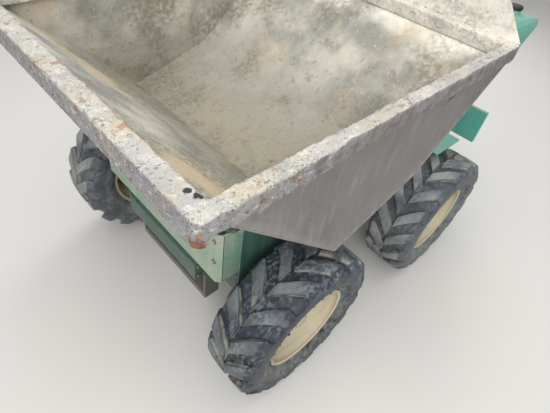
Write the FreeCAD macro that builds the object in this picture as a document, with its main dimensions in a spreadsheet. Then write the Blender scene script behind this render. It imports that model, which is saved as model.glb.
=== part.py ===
import FreeCAD, Part
import math
import os
import re
import Sketcher

# Site dumper with a front tipping skip, four equal driven wheels and rear steering.
# Millimetres, X forward, Y to the vehicle's left, Z up, wheels standing on Z = 0.
# Places along X are measured from the front axle and heights from the axle line.
# Each finished piece is then shifted so that the origin lies on the ground under
# the middle of the overall length.

Vector = FreeCAD.Vector
doc = FreeCAD.newDocument("SiteDumper")

# name, value, what it measures
SIZES = [
    ("lip_reach", 548, "front axle to the front of the skip's lip"),
    ("rear_reach", 2112, "front axle to the back of the tow jaw"),
    ("wheelbase", 1106, "front axle to rear axle"),
    ("half_track", 637, "centre line to the middle of a tyre"),
    ("seat_gap", 0.3, "gap left where two curved faces seat"),
    ("run_fit", 0.05, "radial clearance of a turning shaft"),
    ("side_play", 7, "gap beside a turning piece"),

    ("tyre_od", 760, "tyre diameter over its lugs"),
    ("tyre_w", 264, "tyre width"),
    ("bead_r", 198, "radius of the rim's bead seat"),
    ("bead_half", 100, "middle of the tyre to the rim's flange"),
    ("flange_h", 15, "height of the rim's flange"),
    ("flange_t", 5, "thickness of the rim's flange"),
    ("tread_half", 106, "half width of the tread over its lugs"),
    ("lug_h", 30, "height of a tyre's lug"),
    ("lug_bend", 62, "tyre's middle to the bend in its lugs"),
    ("bulge_h", 50, "rim's flange to the widest part of the sidewall"),
    ("groove_half", 4, "half width of the groove round the tread's middle"),
    ("shoulder_drop", 46, "tread down to the widest part of the sidewall"),
    ("rim_wall", 8, "thickness of the rim and disc"),
    ("disc_out", 84, "middle of the tyre to the disc's root"),
    ("disc_in", 32, "middle of the tyre to the disc's centre"),
    ("hub_r", 62, "radius of the hub"),
    ("hub_in", 60, "hub's inboard end from the tyre's middle"),
    ("hub_out", 72, "hub cap's outboard face from the tyre's middle"),
    ("cap_t", 14, "thickness of the hub's closed end"),
    ("spindle_r", 30, "radius of a wheel's spindle"),

    ("axle_r", 45, "radius of the shoulder behind a wheel"),
    ("beam_half", 44, "half width and height of an axle beam"),
    ("beam_corner", 14, "size of an axle beam's cut corners"),
    ("diff_r", 112, "radius of a differential housing"),
    ("diff_w", 150, "width of a differential housing"),
    ("drive_y", 130, "drive line's offset to the right"),
    ("nose_reach", 200, "axle to the end of the differential's nose"),
    ("nose_r", 52, "radius of the nose"),
    ("prop_r", 26, "radius of a propeller shaft"),

    ("kingpin_y", 460, "centre line to a kingpin"),
    ("kingpin_r", 16, "kingpin's radius"),
    ("knuckle_half", 57, "half height of a knuckle"),
    ("knuckle_w", 38, "half length of a knuckle"),
    ("yoke_gap", 18, "gap between a knuckle and the beam's end"),
    ("yoke_t", 25, "thickness of the beam's end plate"),
    ("ear_reach", 28, "kingpin to an ear's outer end"),
    ("ear_t", 25, "thickness of the beam's ears"),
    ("ear_gap", 3, "gap between a knuckle and an ear"),
    ("arm_len", 150, "kingpin to the steering arm's pin"),
    ("arm_t", 18, "thickness of a steering arm"),
    ("arm_w", 32, "width of a steering arm at its end"),
    ("pin_proud", 4, "how far a pin stands proud"),
    ("arm_pin_r", 9, "radius of the arm's pin"),
    ("slot_play", 17, "length that a rod's slot leaves its pin"),
    ("rod_slot_play", 3, "gap beside a pin in the rod's slot"),
    ("ram_r", 32, "radius of the steering ram"),
    ("ram_half", 150, "half length of the steering ram"),
    ("ram_rod_r", 13, "radius of the steering rod"),
    ("ram_block_half", 60, "half width of the block that holds the steering ram"),
    ("ram_block_t", 44, "thickness of the block that holds the steering ram"),
    ("rod_eye_t", 24, "thickness of the steering rod's eyes"),
    ("rod_eye_wall", 15, "wall of the steering rod's eyes"),

    ("rail_out", 275, "centre line to a rail's outer face"),
    ("rail_w", 60, "width of a rail"),
    ("rail_t", 8, "thickness of a rail"),
    ("rail_low", 50, "axle line up to the rails' underside"),
    ("rail_h", 110, "height of a rail"),
    ("rail_back", 2050, "front axle to the rails' rear end"),
    ("cross_len", 60, "length of a cross member"),

    ("plate_x", 262, "front axle to the front plate"),
    ("plate_t", 8, "thickness of the front plate"),
    ("plate_low", 212, "axle line up to the front plate's lower edge"),
    ("plate_top", 490, "axle line up to the front plate's top edge"),
    ("plate_bend", 18, "size of the front plate's bent corners"),
    ("wing_x", 150, "front axle to the end of the plate's wings"),
    ("cheek_out", 442, "centre line to a cheek's outer face"),
    ("cheek_t", 12, "thickness of a cheek"),
    ("cheek_back", 300, "front axle to a cheek's rear end"),
    ("head_front", 46, "pivot to the front of a cheek's head"),
    ("head_chin", 10, "pivot up to the front corner of a cheek's head"),
    ("head_half", 24, "half width of a cheek's top"),
    ("head_h", 45, "pivot up to a cheek's top"),
    ("neck_back", 62, "pivot back to a cheek's neck"),
    ("waist_back", 140, "pivot back to a cheek's waist"),
    ("waist_drop", 170, "pivot down to a cheek's waist"),
    ("shoulder_back", 120, "front axle back to a cheek's shoulder"),
    ("shoulder_h", 110, "rail up to a cheek's shoulder"),
    ("heel_h", 20, "rail up to a cheek's rear corner"),

    ("pivot_x", 180, "front axle to the skip's pivot"),
    ("pivot_z", 525, "axle line up to the skip's pivot"),
    ("pivot_r", 20, "radius of a pivot pin"),
    ("pivot_boss", 36, "radius of a lug's boss"),
    ("pin_head_r", 29, "radius of a pivot pin's head"),
    ("pin_head_t", 10, "thickness of a pivot pin's head"),
    ("lug_y", 400, "centre line to the middle of a skip lug"),
    ("lug_t", 20, "thickness of a skip lug"),
    ("lug_back", 110, "pivot back to the rear of a lug's foot"),
    ("lug_front", 96, "pivot to the front of a lug's foot"),

    ("skip_half", 708, "centre line to the skip's side"),
    ("skip_wall", 6, "thickness of the skip's plate"),
    ("keel_x", 66, "front axle back to the skip's lowest line"),
    ("keel_z", 443, "axle line up to the skip's lowest line"),
    ("heel_x", 500, "front axle back to the foot of the rear wall"),
    ("heel_z", 597, "axle line up to the foot of the rear wall"),
    ("tail_x", 955, "front axle back to the top of the rear wall"),
    ("front_top_z", 941, "axle line up to the slope plate's top"),
    ("lip_z", 978, "axle line up to the top of the lip"),
    ("rim_slope", 2.42, "rise of the rim to the rear in degrees"),
    ("rim_half", 720, "centre line to the rim's outer face"),
    ("rim_w", 51, "width of the rim"),
    ("rim_h", 55, "height of the rim"),
    ("lip_w", 63, "width of the lip member"),
    ("rim_round", 26, "radius of the rim's outer corners"),
    ("lip_h", 78, "height of the lip member"),
    ("tail_reach", 984, "front axle back to the rim's rear face"),
    ("rest_inset", 10, "rear wall's foot to a rest post"),
    ("rest_len", 60, "length of a rest post"),
    ("shell_tuck", 30, "height of the shell's edge inside the rim"),
    ("guard_rise", 197.3, "height of the rear guard above the rim"),
    ("guard_inset", 6, "rim's outer face to the rear guard's foot"),
    ("guard_taper", 169, "how far the guard's ends lean inward"),
    ("guard_rib_y", 330, "centre line to an outer rib of the rear guard"),
    ("guard_t", 6, "thickness of the rear guard"),
    ("guard_flange", 28, "depth of the guard's top flange"),

    ("foot_pin_x", 160, "front axle to the tipping ram's foot pin"),
    ("foot_pin_z", -60, "axle line up to the tipping ram's foot pin"),
    ("eye_x", 70, "front axle back to the tipping ram's eye"),
    ("eye_z", 370, "axle line up to the tipping ram's eye"),
    ("barrel_r", 40, "radius of the ram's barrel"),
    ("bore_r", 32, "radius of the barrel's bore"),
    ("rod_r", 20, "radius of the ram's rod"),
    ("barrel_len", 430, "foot pin to the barrel's mouth"),
    ("barrel_base", 40, "foot pin to the bottom of the bore"),
    ("gland_len", 26, "length of the gland"),
    ("piston_len", 28, "length of the piston"),
    ("eye_r", 32, "radius of the rod's eye"),
    ("foot_r", 36, "radius of the barrel's foot"),
    ("ram_pin_r", 14, "radius of the ram's pins"),
    ("ram_half_w", 38, "half width of the ram's foot and eye"),
    ("ram_ear_y", 46, "centre line to an ear beside the ram"),
    ("ram_ear_t", 12, "thickness of an ear beside the ram"),
    ("eye_ear_back", 86, "keel back to the rear of an ear's foot"),
    ("eye_ear_front", 70, "keel to the front of an ear's foot"),
    ("eye_ear_half", 34, "half width of an ear at the pin"),
    ("eye_ear_chin", 20, "half width of an ear's tip"),
    ("eye_ear_drop", 30, "pin down to an ear's tip"),
    ("weld_sunk", 12, "how far a round bar is let into what it ends on"),
    ("piston_gap", 4, "bottom of the bore to the piston"),
    ("mount_half", 40, "half length of the beam under the ram"),
    ("mount_t", 32, "thickness of the beam under the ram"),
    ("mount_drop", 14, "gap between the ram's foot and the beam"),
    ("hanger_t", 14, "thickness of the beam's hangers"),

    ("foot_z", 252, "axle line up to the footplate's underside"),
    ("foot_t", 6, "thickness of the footplate"),
    ("foot_half", 320, "half width of the footplate"),
    ("foot_front", 640, "front axle back to the footplate's front edge"),
    ("foot_back", 1430, "front axle back to the footplate's rear edge"),
    ("guard_gap", 40, "tyre's top up to the mudguards' underside"),
    ("guard_out", 605, "centre line to a mudguard's outer edge"),
    ("guard_lead", 96, "a mudguard's front edge ahead of the rear axle"),
    ("guard_trail", 149, "a mudguard's rear edge behind the rear axle"),
    ("sheet", 5, "thickness of the body sheets"),

    ("bay_half", 271, "half width of the engine bay"),
    ("bay_back", 1970, "front axle back to the bay's rear wall"),
    ("bay_top", 505, "axle line up to the bay's top edge"),
    ("engine_front", 1480, "front axle back to the engine's front"),
    ("engine_back", 1950, "front axle back to the engine's rear"),
    ("engine_half", 195, "half width of the engine"),
    ("engine_low", 70, "axle line up to the engine's underside"),
    ("engine_top", 490, "axle line up to the engine's top"),
    ("engine_foot_t", 22, "thickness of an engine mounting"),
    ("engine_foot_len", 60, "length of an engine mounting"),
    ("engine_foot_inset", 40, "engine's end to a mounting"),
    ("gear_reach", 286, "rear axle to the gearbox's rear"),
    ("gear_len", 220, "length of the gearbox"),
    ("gear_low", -60, "axle line up to the gearbox's underside"),
    ("gear_top", 240, "axle line up to the gearbox's top"),
    ("gear_w", 160, "width of the gearbox"),
    ("input_z", 195, "axle line up to the shaft from the engine"),

    ("cover_h", 60, "height of the engine cover"),
    ("hinge_r", 7, "radius of the cover's hinge knuckles"),
    ("hinge_off", 9, "rear wall to the hinge's axis"),
    ("hinge_y", 150, "centre line to a hinge's near end"),
    ("hinge_len", 40, "length of a hinge knuckle"),
    ("hinge_pin_r", 3, "radius of a hinge pin"),
    ("leaf_h", 28, "height of a hinge leaf"),
    ("cushion_front", 1480, "front axle back to the seat's front"),
    ("cushion_len", 400, "length of the seat cushion"),
    ("cushion_half", 235, "half width of the seat cushion"),
    ("cushion_h", 90, "height of the seat cushion"),
    ("backrest_h", 400, "height of the backrest"),
    ("backrest_t", 80, "thickness of the backrest"),
    ("backrest_lean", 60, "how far the backrest leans back"),

    ("tank_in", 300, "centre line to a tank's inner face"),
    ("tank_foot", 436, "centre line to the foot of a tank's outer face"),
    ("tank_out", 540, "centre line to a tank's outer face at its top"),
    ("tank_round", 55, "radius of a tank's rounded corner"),
    ("tank_front", 1500, "front axle back to a tank's front"),
    ("tank_len", 300, "length of a tank"),
    ("tank_top", 980, "axle line up to a tank's top"),
    ("tank_slope", 20, "how far a tank's top falls to the rear"),
    ("neck_r", 34, "radius of a tank's filler"),
    ("neck_h", 26, "height of a tank's filler"),
    ("bracket_h", 110, "height of a gusset under a tank"),

    ("cowl_gap", 56, "rim's rear face to the cowl"),
    ("cowl_len", 120, "length of the cowl"),
    ("cowl_edge", 30, "size of the cowl's cut front edge"),
    ("cowl_half", 180, "half width of the cowl"),
    ("cowl_top", 750, "axle line up to the cowl's top"),
    ("column_r", 22, "radius of the steering column"),
    ("cowl_slant", 50, "length along X of the cowl's face under the column"),
    ("column_len", 220, "length of the steering column"),
    ("column_lean", 30, "lean of the steering column in degrees"),
    ("wheel_r", 170, "radius of the steering wheel's ring"),
    ("grip_r", 13, "radius of the steering wheel's grip"),
    ("wheel_rise", 18, "column's end to the middle of the grip"),
    ("hub_wall", 6, "how far the steering wheel's hub stands round the column"),
    ("spoke_t", 8, "thickness and half width of a spoke"),

    ("lever_y", 110, "centre line to the nearer lever"),
    ("lever_gap", 40, "gap between the levers' centre lines"),
    ("lever_r", 7, "radius of a lever"),
    ("lever_h", 150, "length of a lever"),
    ("knob_r", 15, "radius of a lever's knob"),
    ("pedal_gap", 30, "cowl's front to a pedal's foot along X"),
    ("pedal_y", 205, "centre line to a pedal"),
    ("pedal_w", 50, "width of a pedal"),
    ("pedal_len", 75, "length of a pedal"),
    ("pedal_h", 90, "height of a pedal's front edge"),
    ("pedal_t", 8, "thickness of a pedal"),

    ("bumper_t", 30, "thickness of the rear plate"),
    ("bumper_half", 480, "half width of the rear plate"),
    ("bumper_low", 20, "axle line up to the rear plate's lower edge"),
    ("bumper_top", 260, "axle line up to the rear plate's top edge"),
    ("jaw_half", 50, "half width of the tow jaw"),
    ("jaw_t", 16, "thickness of the tow jaw's plates"),
    ("jaw_gap", 50, "gap between the tow jaw's plates"),
    ("jaw_z", 90, "axle line up to the middle of the tow jaw"),
    ("jaw_bore", 13, "radius of the tow pin's hole"),
    ("jaw_inset", 2, "rear plate to the tow hole's near edge"),
    ("lamp_r", 38, "radius of a rear lamp"),
    ("lamp_t", 20, "depth of a rear lamp"),
    ("lamp_y", 415, "centre line to a rear lamp"),
    ("lamp_drop", 60, "rear plate's top edge down to a lamp's middle"),
    ("pipe_r", 24, "radius of the exhaust pipe"),
    ("pipe_x", 2024, "front axle back to the exhaust pipe"),
    ("pipe_y", 345, "centre line to the exhaust pipe"),
    ("pipe_top", 910, "axle line up to the exhaust pipe's top"),
    ("pipe_grip_half", 15, "half width of the pipe's bracket"),
    ("pipe_grip_drop", 80, "pipe's foot down to its bracket's foot"),
    ("pipe_grip_rise", 30, "pipe's foot up to its bracket's top"),
]

# Sizes that follow from others.
DERIVED = {
    "x_front": "(rear_reach - lip_reach) / 2",
    "axle_z": "tyre_od / 2",
    "flange_r": "bead_r + flange_h",
    "hub_face": "half_track - hub_in",
    "rail_in": "rail_out - rail_w",
    "rail_top": "rail_low + rail_h",
    "rail_front": "plate_x - plate_t",
    "web_in": "rail_out - rail_t",
    "cheek_in": "cheek_out - cheek_t",
    "slope_rise": "(front_top_z - keel_z) / (lip_reach - lip_w + keel_x)",
    "floor_rise": "(heel_z - keel_z) / (heel_x - keel_x)",
    "rim_rise": "tan(rim_slope * 1deg)",
    "rim_len": "(lip_reach + tail_reach) / cos(rim_slope * 1deg)",
    "rim_under": "lip_z - rim_h",
    "front_x": "lip_reach - lip_w",
    "ram_dx": "(foot_pin_x + eye_x)",
    "ram_dz": "(eye_z - foot_pin_z)",
    "ram_len": "sqrt(ram_dx * ram_dx + ram_dz * ram_dz)",
    "ram_turn": "-1 * atan(ram_dx / ram_dz)",
    "piston_low": "barrel_base + piston_gap",
    "arm_x": "wheelbase + arm_len",
    "foot_top": "foot_z + foot_t",
    "cover_low": "bay_top + seat_gap",
    "cover_top": "cover_low + cover_h",
    "column_turn": "0 - column_lean",
    "cowl_fall": "cowl_slant * tan(column_lean * 1deg)",
    "column_x": "cowl_front + cowl_len - cowl_slant / 2",
    "column_z": "cowl_top - cowl_fall / 2",
    "bumper_x": "rail_back + bumper_t",
    "gear_back": "wheelbase - gear_reach",
    "gear_front": "gear_back - gear_len",
    "guard_foot": "rim_half - guard_inset",
    "guard_head": "guard_foot - guard_taper",
    "guard_foot_z": "lip_z + (lip_reach + tail_reach) * rim_rise + seat_gap",
    "guard_top_z": "guard_foot_z + guard_rise",
    "hinge_x": "bay_back + hinge_off",
    "guard_z": "tyre_od / 2 + guard_gap",
    "guard_front": "wheelbase - guard_lead",
    "guard_back": "wheelbase + guard_trail",
    "tank_low": "guard_z + sheet",
    "tank_back": "tank_front + tank_len",
    "cowl_front": "tail_reach + cowl_gap",
    "pedal_x": "cowl_front + pedal_gap",
    "web_r": "pivot_boss - pin_proud",
}

sheet = doc.addObject("Spreadsheet::Sheet", "Sizes")
for row, (name, value, meaning) in enumerate(SIZES, start=1):
    sheet.set(f"A{row}", meaning)
    sheet.set(f"B{row}", str(value))
    sheet.setAlias(f"B{row}", name)
doc.recompute()
SIZE_NAMES = {name for name, value, meaning in SIZES}
finished = []


def tied(text):
    """An expression whose size names lead to their cells."""
    def cell(found):
        word = found.group(0)
        if word in DERIVED:
            return "(" + tied(DERIVED[word]) + ")"
        return "Sizes." + word if word in SIZE_NAMES else word
    return re.sub(r"(?<![0-9a-z_])[a-z][a-z_]*", cell, str(text))


def place(piece, x="0", y="0", z="0", about=None, turn="0"):
    """Bind a piece's place, and its turn about an axis in degrees."""
    if about is not None:
        piece.Placement = FreeCAD.Placement(Vector(0, 0, 0), FreeCAD.Rotation(about, 1))
        piece.setExpression("Placement.Rotation.Angle", tied(turn))
    for axis, text in (("x", x), ("y", y), ("z", z)):
        piece.setExpression("Placement.Base." + axis, tied(text))
    return piece


def finish(piece, node, x="0", z="0"):
    """Name a finished piece and shift it to the overall frame."""
    piece.Label = node
    piece.setExpression("Placement.Base.x", tied(f"x_front + {x}"))
    piece.setExpression("Placement.Base.z", tied(f"axle_z + {z}"))
    finished.append(piece)
    return piece


def box(name, x, y, z):
    """A box from its low and high value along each axis."""
    piece = doc.addObject("Part::Box", name)
    for side, (low, high) in (("Length", x), ("Width", y), ("Height", z)):
        piece.setExpression(side, tied(f"({high}) - ({low})"))
    return place(piece, x[0], y[0], z[0])


TURNS = {"z": (Vector(0, 0, 1), 0), "y": (Vector(1, 0, 0), -90), "x": (Vector(0, 1, 0), 90)}


def cylinder(name, radius, along, low, high, x="0", y="0", z="0"):
    """A cylinder along one axis, from its low to its high end."""
    piece = doc.addObject("Part::Cylinder", name)
    piece.setExpression("Radius", tied(radius))
    piece.setExpression("Height", tied(f"({high}) - ({low})"))
    axis, angle = TURNS[along]
    piece.Placement = FreeCAD.Placement(Vector(0, 0, 0), FreeCAD.Rotation(axis, angle))
    base = {"x": x, "y": y, "z": z}
    base[along] = low
    for axis_name, text in base.items():
        piece.setExpression("Placement.Base." + axis_name, tied(text))
    return piece


def fuse(name, pieces):
    piece = doc.addObject("Part::MultiFuse", name)
    piece.Shapes = pieces
    return piece


def cut(name, base, tool):
    piece = doc.addObject("Part::Cut", name)
    piece.Base = base
    piece.Tool = tool
    return piece


def group(name, pieces):
    """Like pieces that share a node and don't touch."""
    piece = doc.addObject("Part::Compound", name)
    piece.Links = pieces
    return piece


def mirrored(piece, name):
    """The same piece on the vehicle's other side."""
    other = doc.addObject("Part::Mirroring", name)
    other.Source = piece
    other.Normal = Vector(0, 1, 0)
    return other


def pair(name, left):
    return group(name, [left, mirrored(left, name + "Right")])


# A sketch starts from a regular ring of this radius before its corners are bound.
SEED = 100


def sketch(body, name, role, outlines, holes=()):
    """Closed outlines of straight sides, and round holes, each corner bound to sizes."""
    drawing = body.newObject("Sketcher::SketchObject", name)
    base = [part for part in body.Origin.OriginFeatures if part.Role == role][0]
    drawing.AttachmentSupport = [(base, "")]
    drawing.MapMode = "FlatFace"

    def pin(geometry, point, x, y):
        for kind, text in (("DistanceX", x), ("DistanceY", y)):
            index = drawing.addConstraint(Sketcher.Constraint(kind, -1, 1, geometry, point, 1.0))
            drawing.setExpression(f"Constraints[{index}]", tied(text))

    for outline in outlines:
        count = len(outline)
        onward = FreeCAD.Rotation(Vector(0, 0, 1), 360.0 / count)
        corner = Vector(SEED, 0, 0)
        first = drawing.GeometryCount
        for step in range(count):
            following = onward.multVec(corner)
            drawing.addGeometry(Part.LineSegment(corner, following), False)
            corner = following
        for step in range(count):
            after = first + (step + 1) % count
            drawing.addConstraint(Sketcher.Constraint("Coincident", first + step, 2, after, 1))
        for step, (x, y) in enumerate(outline):
            pin(first + step, 1, x, y)
    for x, y, radius in holes:
        geometry = drawing.addGeometry(Part.Circle(Vector(0, 0, 0), Vector(0, 0, 1), 10), False)
        pin(geometry, 3, x, y)
        index = drawing.addConstraint(Sketcher.Constraint("Radius", geometry, 10))
        drawing.setExpression(f"Constraints[{index}]", tied(radius))
    return drawing


def plate(name, role, outlines, length, holes=(), centred=True):
    """A body padded from outlines on one of its origin planes."""
    body = doc.addObject("PartDesign::Body", name)
    pad = body.newObject("PartDesign::Pad", name + "Pad")
    pad.Profile = sketch(body, name + "Sketch", role, outlines, holes)
    pad.setExpression("Length", tied(length))
    if centred:
        pad.SideType = "Symmetric"
    body.Tip = pad
    return body


def turned(name, profile, role="XY_Plane"):
    """A body turned about Y from a profile of (radius, place along Y)."""
    body = doc.addObject("PartDesign::Body", name)
    turn = body.newObject("PartDesign::Revolution", name + "Turn")
    turn.Profile = sketch(body, name + "Sketch", role, [profile])
    axis = [part for part in body.Origin.OriginFeatures if part.Role == "Y_Axis"][0]
    turn.ReferenceAxis = (axis, [""])
    turn.Angle = 360
    body.Tip = turn
    return body


def size(name):
    """A size's own number, for pieces that are worked out corner by corner."""
    return float(sheet.get(name))


def ring_solid(profile, sides):
    """A solid ring about Y with flat sides, from a closed profile of (radius, place along Y)."""
    rings = []
    for radius, y in profile:
        corner_radius = radius / math.cos(math.pi / sides)
        rings.append([
            Vector(corner_radius * math.cos(2 * math.pi * (step + 0.5) / sides), y,
                   corner_radius * math.sin(2 * math.pi * (step + 0.5) / sides))
            for step in range(sides)])
    faces = []
    for near, far in zip(rings, rings[1:] + rings[:1]):
        for step in range(sides):
            after = (step + 1) % sides
            corners = [near[step], near[after], far[after], far[step]]
            faces.append(Part.Face(Part.makePolygon(corners + corners[:1])))
    shell = Part.Shell(faces)
    shell.sewShape()
    return Part.Solid(shell)


def flat_sided(name, profile, sides):
    """A flat-sided ring as a piece. Radii are to the middle of a flat, and one flat faces down."""
    solid = ring_solid(profile, sides)
    if solid.Volume < 0:
        solid = ring_solid(profile[::-1], sides)
    piece = doc.addObject("Part::Feature", name)
    piece.Shape = solid
    return piece


# Wheels

CORNERS = [
    # node ending, side, place of the axle along X
    ("front_left", 1, "0"),
    ("front_right", -1, "0"),
    ("rear_left", 1, "0 - wheelbase"),
    ("rear_right", -1, "0 - wheelbase"),
]

# Flats round a tyre and its rim, two to a lug.
FLATS = 32


def facets(corners):
    """Faces for three or four corners. Four that aren't in one plane give two triangles."""
    spots = [spot for index, spot in enumerate(corners) if not spot.isEqual(corners[index - 1], 1e-6)]
    if len(spots) < 4:
        loops = [spots]
    else:
        first, second, third = (spot.sub(spots[0]) for spot in spots[1:])
        flat = abs(first.cross(second).dot(third)) < 1e-3
        loops = [spots] if flat else [spots[:3], [spots[0], spots[2], spots[3]]]
    return [Part.Face(Part.makePolygon(loop + loop[:1])) for loop in loops]


def lugged_half(rows, half):
    """The rings of lug and groove corners on one half of a tyre, from the tread's middle to the bead."""
    rings = []
    for top_r, groove_r, y, lag in rows:
        ring = []
        for step in range(FLATS):
            turn = 2 * math.pi * (step - lag) / FLATS
            ring.append([Vector(radius * math.sin(turn), half * y, radius * math.cos(turn))
                         for radius in (top_r, groove_r)])
        rings.append(ring)
    return rings


def lugged_solid(rows, backwards):
    """A tyre with a lug on every second flat of each half, the two halves staggered by one flat."""
    halves = [(lugged_half(rows, 1), 0), (lugged_half(rows, -1), 1)]
    loops = []
    for rings, shift in halves:
        for step in range(FLATS):
            after = (step + 1) % FLATS
            level = (step + shift) % 2
            if level == 0:
                inner = rings[0]
                loops.append([inner[step][1], inner[after][1], inner[after][0], inner[step][0]])
            for near, far in zip(rings, rings[1:]):
                loops.append([near[step][level], near[after][level], far[after][level], far[step][level]])
                loops.append([near[step][1], near[step][0], far[step][0], far[step][1]])
    left, right = halves[0][0], halves[1][0]
    for ring_left, ring_right in ((left[0], right[0]), (left[-1], right[-1])):
        for step in range(FLATS):
            after = (step + 1) % FLATS
            loops.append([ring_left[step][1], ring_left[after][1], ring_right[after][1], ring_right[step][1]])
    faces = []
    for loop in loops:
        spots = [spot for index, spot in enumerate(loop) if not spot.isEqual(loop[index - 1], 1e-6)]
        if len(spots) > 2:
            faces += facets(spots[::-1] if backwards else spots)
    shell = Part.Shell(faces)
    shell.sewShape()
    return Part.Solid(shell)


def tyre(ending, side, axle_x):
    """A tyre whose lugs lie in a V that points ahead at the top."""
    to_corner = math.cos(math.pi / FLATS)
    rim_r = size("bead_r") + size("seat_gap")
    flange_r = rim_r + size("flange_h")
    rim_half = size("bead_half") - size("seat_gap")
    tread_r = size("tyre_od") / 2
    groove_r = tread_r - size("lug_h")
    side_r = tread_r - size("shoulder_drop")
    bulge_r = flange_r + size("bulge_h")
    rows = [
        # lug's radius, groove's radius, place along Y, flats behind the middle
        (tread_r, groove_r, size("groove_half"), 0),
        (tread_r, groove_r, size("lug_bend"), 1),
        (tread_r, groove_r, size("tread_half"), 1.5),
        (side_r, side_r, size("tyre_w") / 2, 1.5),
        (bulge_r, bulge_r, size("tyre_w") / 2, 1.5),
        (flange_r / to_corner, flange_r / to_corner, rim_half, 1.5),
        (rim_r / to_corner, rim_r / to_corner, rim_half, 1.5),
    ]
    solid = lugged_solid(rows, False)
    if solid.Volume < 0:
        solid = lugged_solid(rows, True)
    body = doc.addObject("Part::Feature", "Tyre_" + ending)
    body.Shape = solid
    place(body, axle_x, f"{side} * half_track")
    finish(body, "tyre_" + ending, axle_x)


def wheel(ending, side, axle_x):
    bead_r, wall = size("bead_r"), size("rim_wall")
    flange_r = bead_r + size("flange_h")
    bead_half, flange_t = size("bead_half"), size("flange_t")
    disc_out, disc_in = size("disc_out"), size("disc_in")
    hub_r = size("hub_r") - wall / 2
    profile = [
        (flange_r, -bead_half - flange_t),
        (bead_r, -bead_half),
        (bead_r, bead_half),
        (flange_r, bead_half + flange_t),
        (bead_r - wall, disc_out),
        (hub_r, disc_in),
        (hub_r, disc_in - wall),
        (bead_r - wall, disc_out - 3 * wall / 2),
        (bead_r - wall, -disc_out),
    ]
    disc = flat_sided("Disc_" + ending, [(radius, side * y) for radius, y in profile], FLATS)
    low, high = ("0 - hub_in", "hub_out") if side > 0 else ("0 - hub_out", "hub_in")
    hub = cylinder("Hub_" + ending, "hub_r", "y", low, high)
    low, high = ("0 - hub_in - 1", "hub_out - cap_t") if side > 0 else ("cap_t - hub_out", "hub_in + 1")
    bore = cylinder("HubBore_" + ending, "spindle_r + run_fit", "y", low, high)
    whole = cut("Wheel_" + ending, fuse("WheelWhole_" + ending, [disc, hub]), bore)
    place(whole, axle_x, f"{side} * half_track")
    finish(whole, "wheel_" + ending, axle_x)


# Axles and steering

def beam_section(half, corner):
    """An axle beam's section, a square with its corners taken off."""
    inner = f"{half} - {corner}"
    return [(half, f"0 - ({inner})"), (half, inner), (inner, half), (f"0 - ({inner})", half),
            (f"0 - {half}", inner), (f"0 - {half}", f"0 - ({inner})"),
            (f"0 - ({inner})", f"0 - {half}"), (inner, f"0 - {half}")]


def spindle_ends(name, start):
    """A wheel's spindle and the shoulder behind it, on the left."""
    shaft = cylinder(name + "Spindle", "spindle_r", "y", start, "half_track + hub_out - cap_t - side_play")
    shoulder = cylinder(name + "Shoulder", "axle_r", "y", start, "hub_face - side_play")
    return [shaft, shoulder]


def differential(name, nose):
    """The round housing beside the centre line, with its nose along X."""
    low, high = nose
    return [
        cylinder(name + "Housing", "diff_r", "y", "0 - drive_y - diff_w / 2", "0 - drive_y + diff_w / 2"),
        cylinder(name + "Nose", "nose_r", "x", low, high, y="0 - drive_y"),
    ]


def saddle(name):
    """The block that seats an axle beam under a rail."""
    return box(name, ("0 - beam_half", "beam_half"), ("rail_in", "rail_out"), ("0", "rail_low"))


def front_axle():
    beam_end = "cheek_in - side_play"
    beam = plate("FrontBeam", "XZ_Plane", [beam_section("beam_half", "beam_corner")], f"2 * ({beam_end})")
    ends = spindle_ends("Front", f"{beam_end} - yoke_t")
    right = [mirrored(end, end.Name + "Right") for end in ends]
    seat = saddle("FrontSaddle")
    pieces = [beam, *ends, *right, seat, mirrored(seat, "FrontSaddleRight")]
    finish(fuse("FrontAxle", pieces + differential("FrontDiff", ("0 - nose_reach", "0"))), "front_axle")


def rear_axle():
    beam_end = "kingpin_y - knuckle_w - yoke_gap"
    ear_low = "knuckle_half + ear_gap"
    ear_high = f"{ear_low} + ear_t"
    beam = plate("RearBeam", "XZ_Plane", [beam_section("beam_half", "beam_corner")], f"2 * ({beam_end})")
    yoke = plate("Yoke", "YZ_Plane", [[
        (f"{beam_end} - yoke_t", f"0 - ({ear_high})"), ("kingpin_y + ear_reach", f"0 - ({ear_high})"),
        ("kingpin_y + ear_reach", f"0 - ({ear_low})"), (beam_end, f"0 - ({ear_low})"),
        (beam_end, ear_low), ("kingpin_y + ear_reach", ear_low),
        ("kingpin_y + ear_reach", ear_high), (f"{beam_end} - yoke_t", ear_high)]], "2 * knuckle_w")
    bore = cylinder("YokeBore", "kingpin_r + run_fit", "z", f"0 - ({ear_high}) - 1", f"{ear_high} + 1",
                    y="kingpin_y")
    bored = cut("YokeBored", yoke, bore)
    seat = saddle("RearSaddle")
    block = box("RamBlock", ("0 - arm_len", "0"), ("0 - ram_block_half", "ram_block_half"),
                ("0 - ram_block_t / 2", "ram_block_t / 2"))
    ram_seat = cylinder("RamSeat", "ram_r + seat_gap", "y", "0 - ram_half", "ram_half", x="0 - arm_len")
    pieces = [beam, bored, mirrored(bored, "YokeRight"), seat, mirrored(seat, "RearSaddleRight"),
              cut("RamBlockCut", block, ram_seat)]
    axle = fuse("RearAxle", pieces + differential("RearDiff", ("0", "nose_reach")))
    finish(axle, "rear_axle_beam", "0 - wheelbase")


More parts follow.
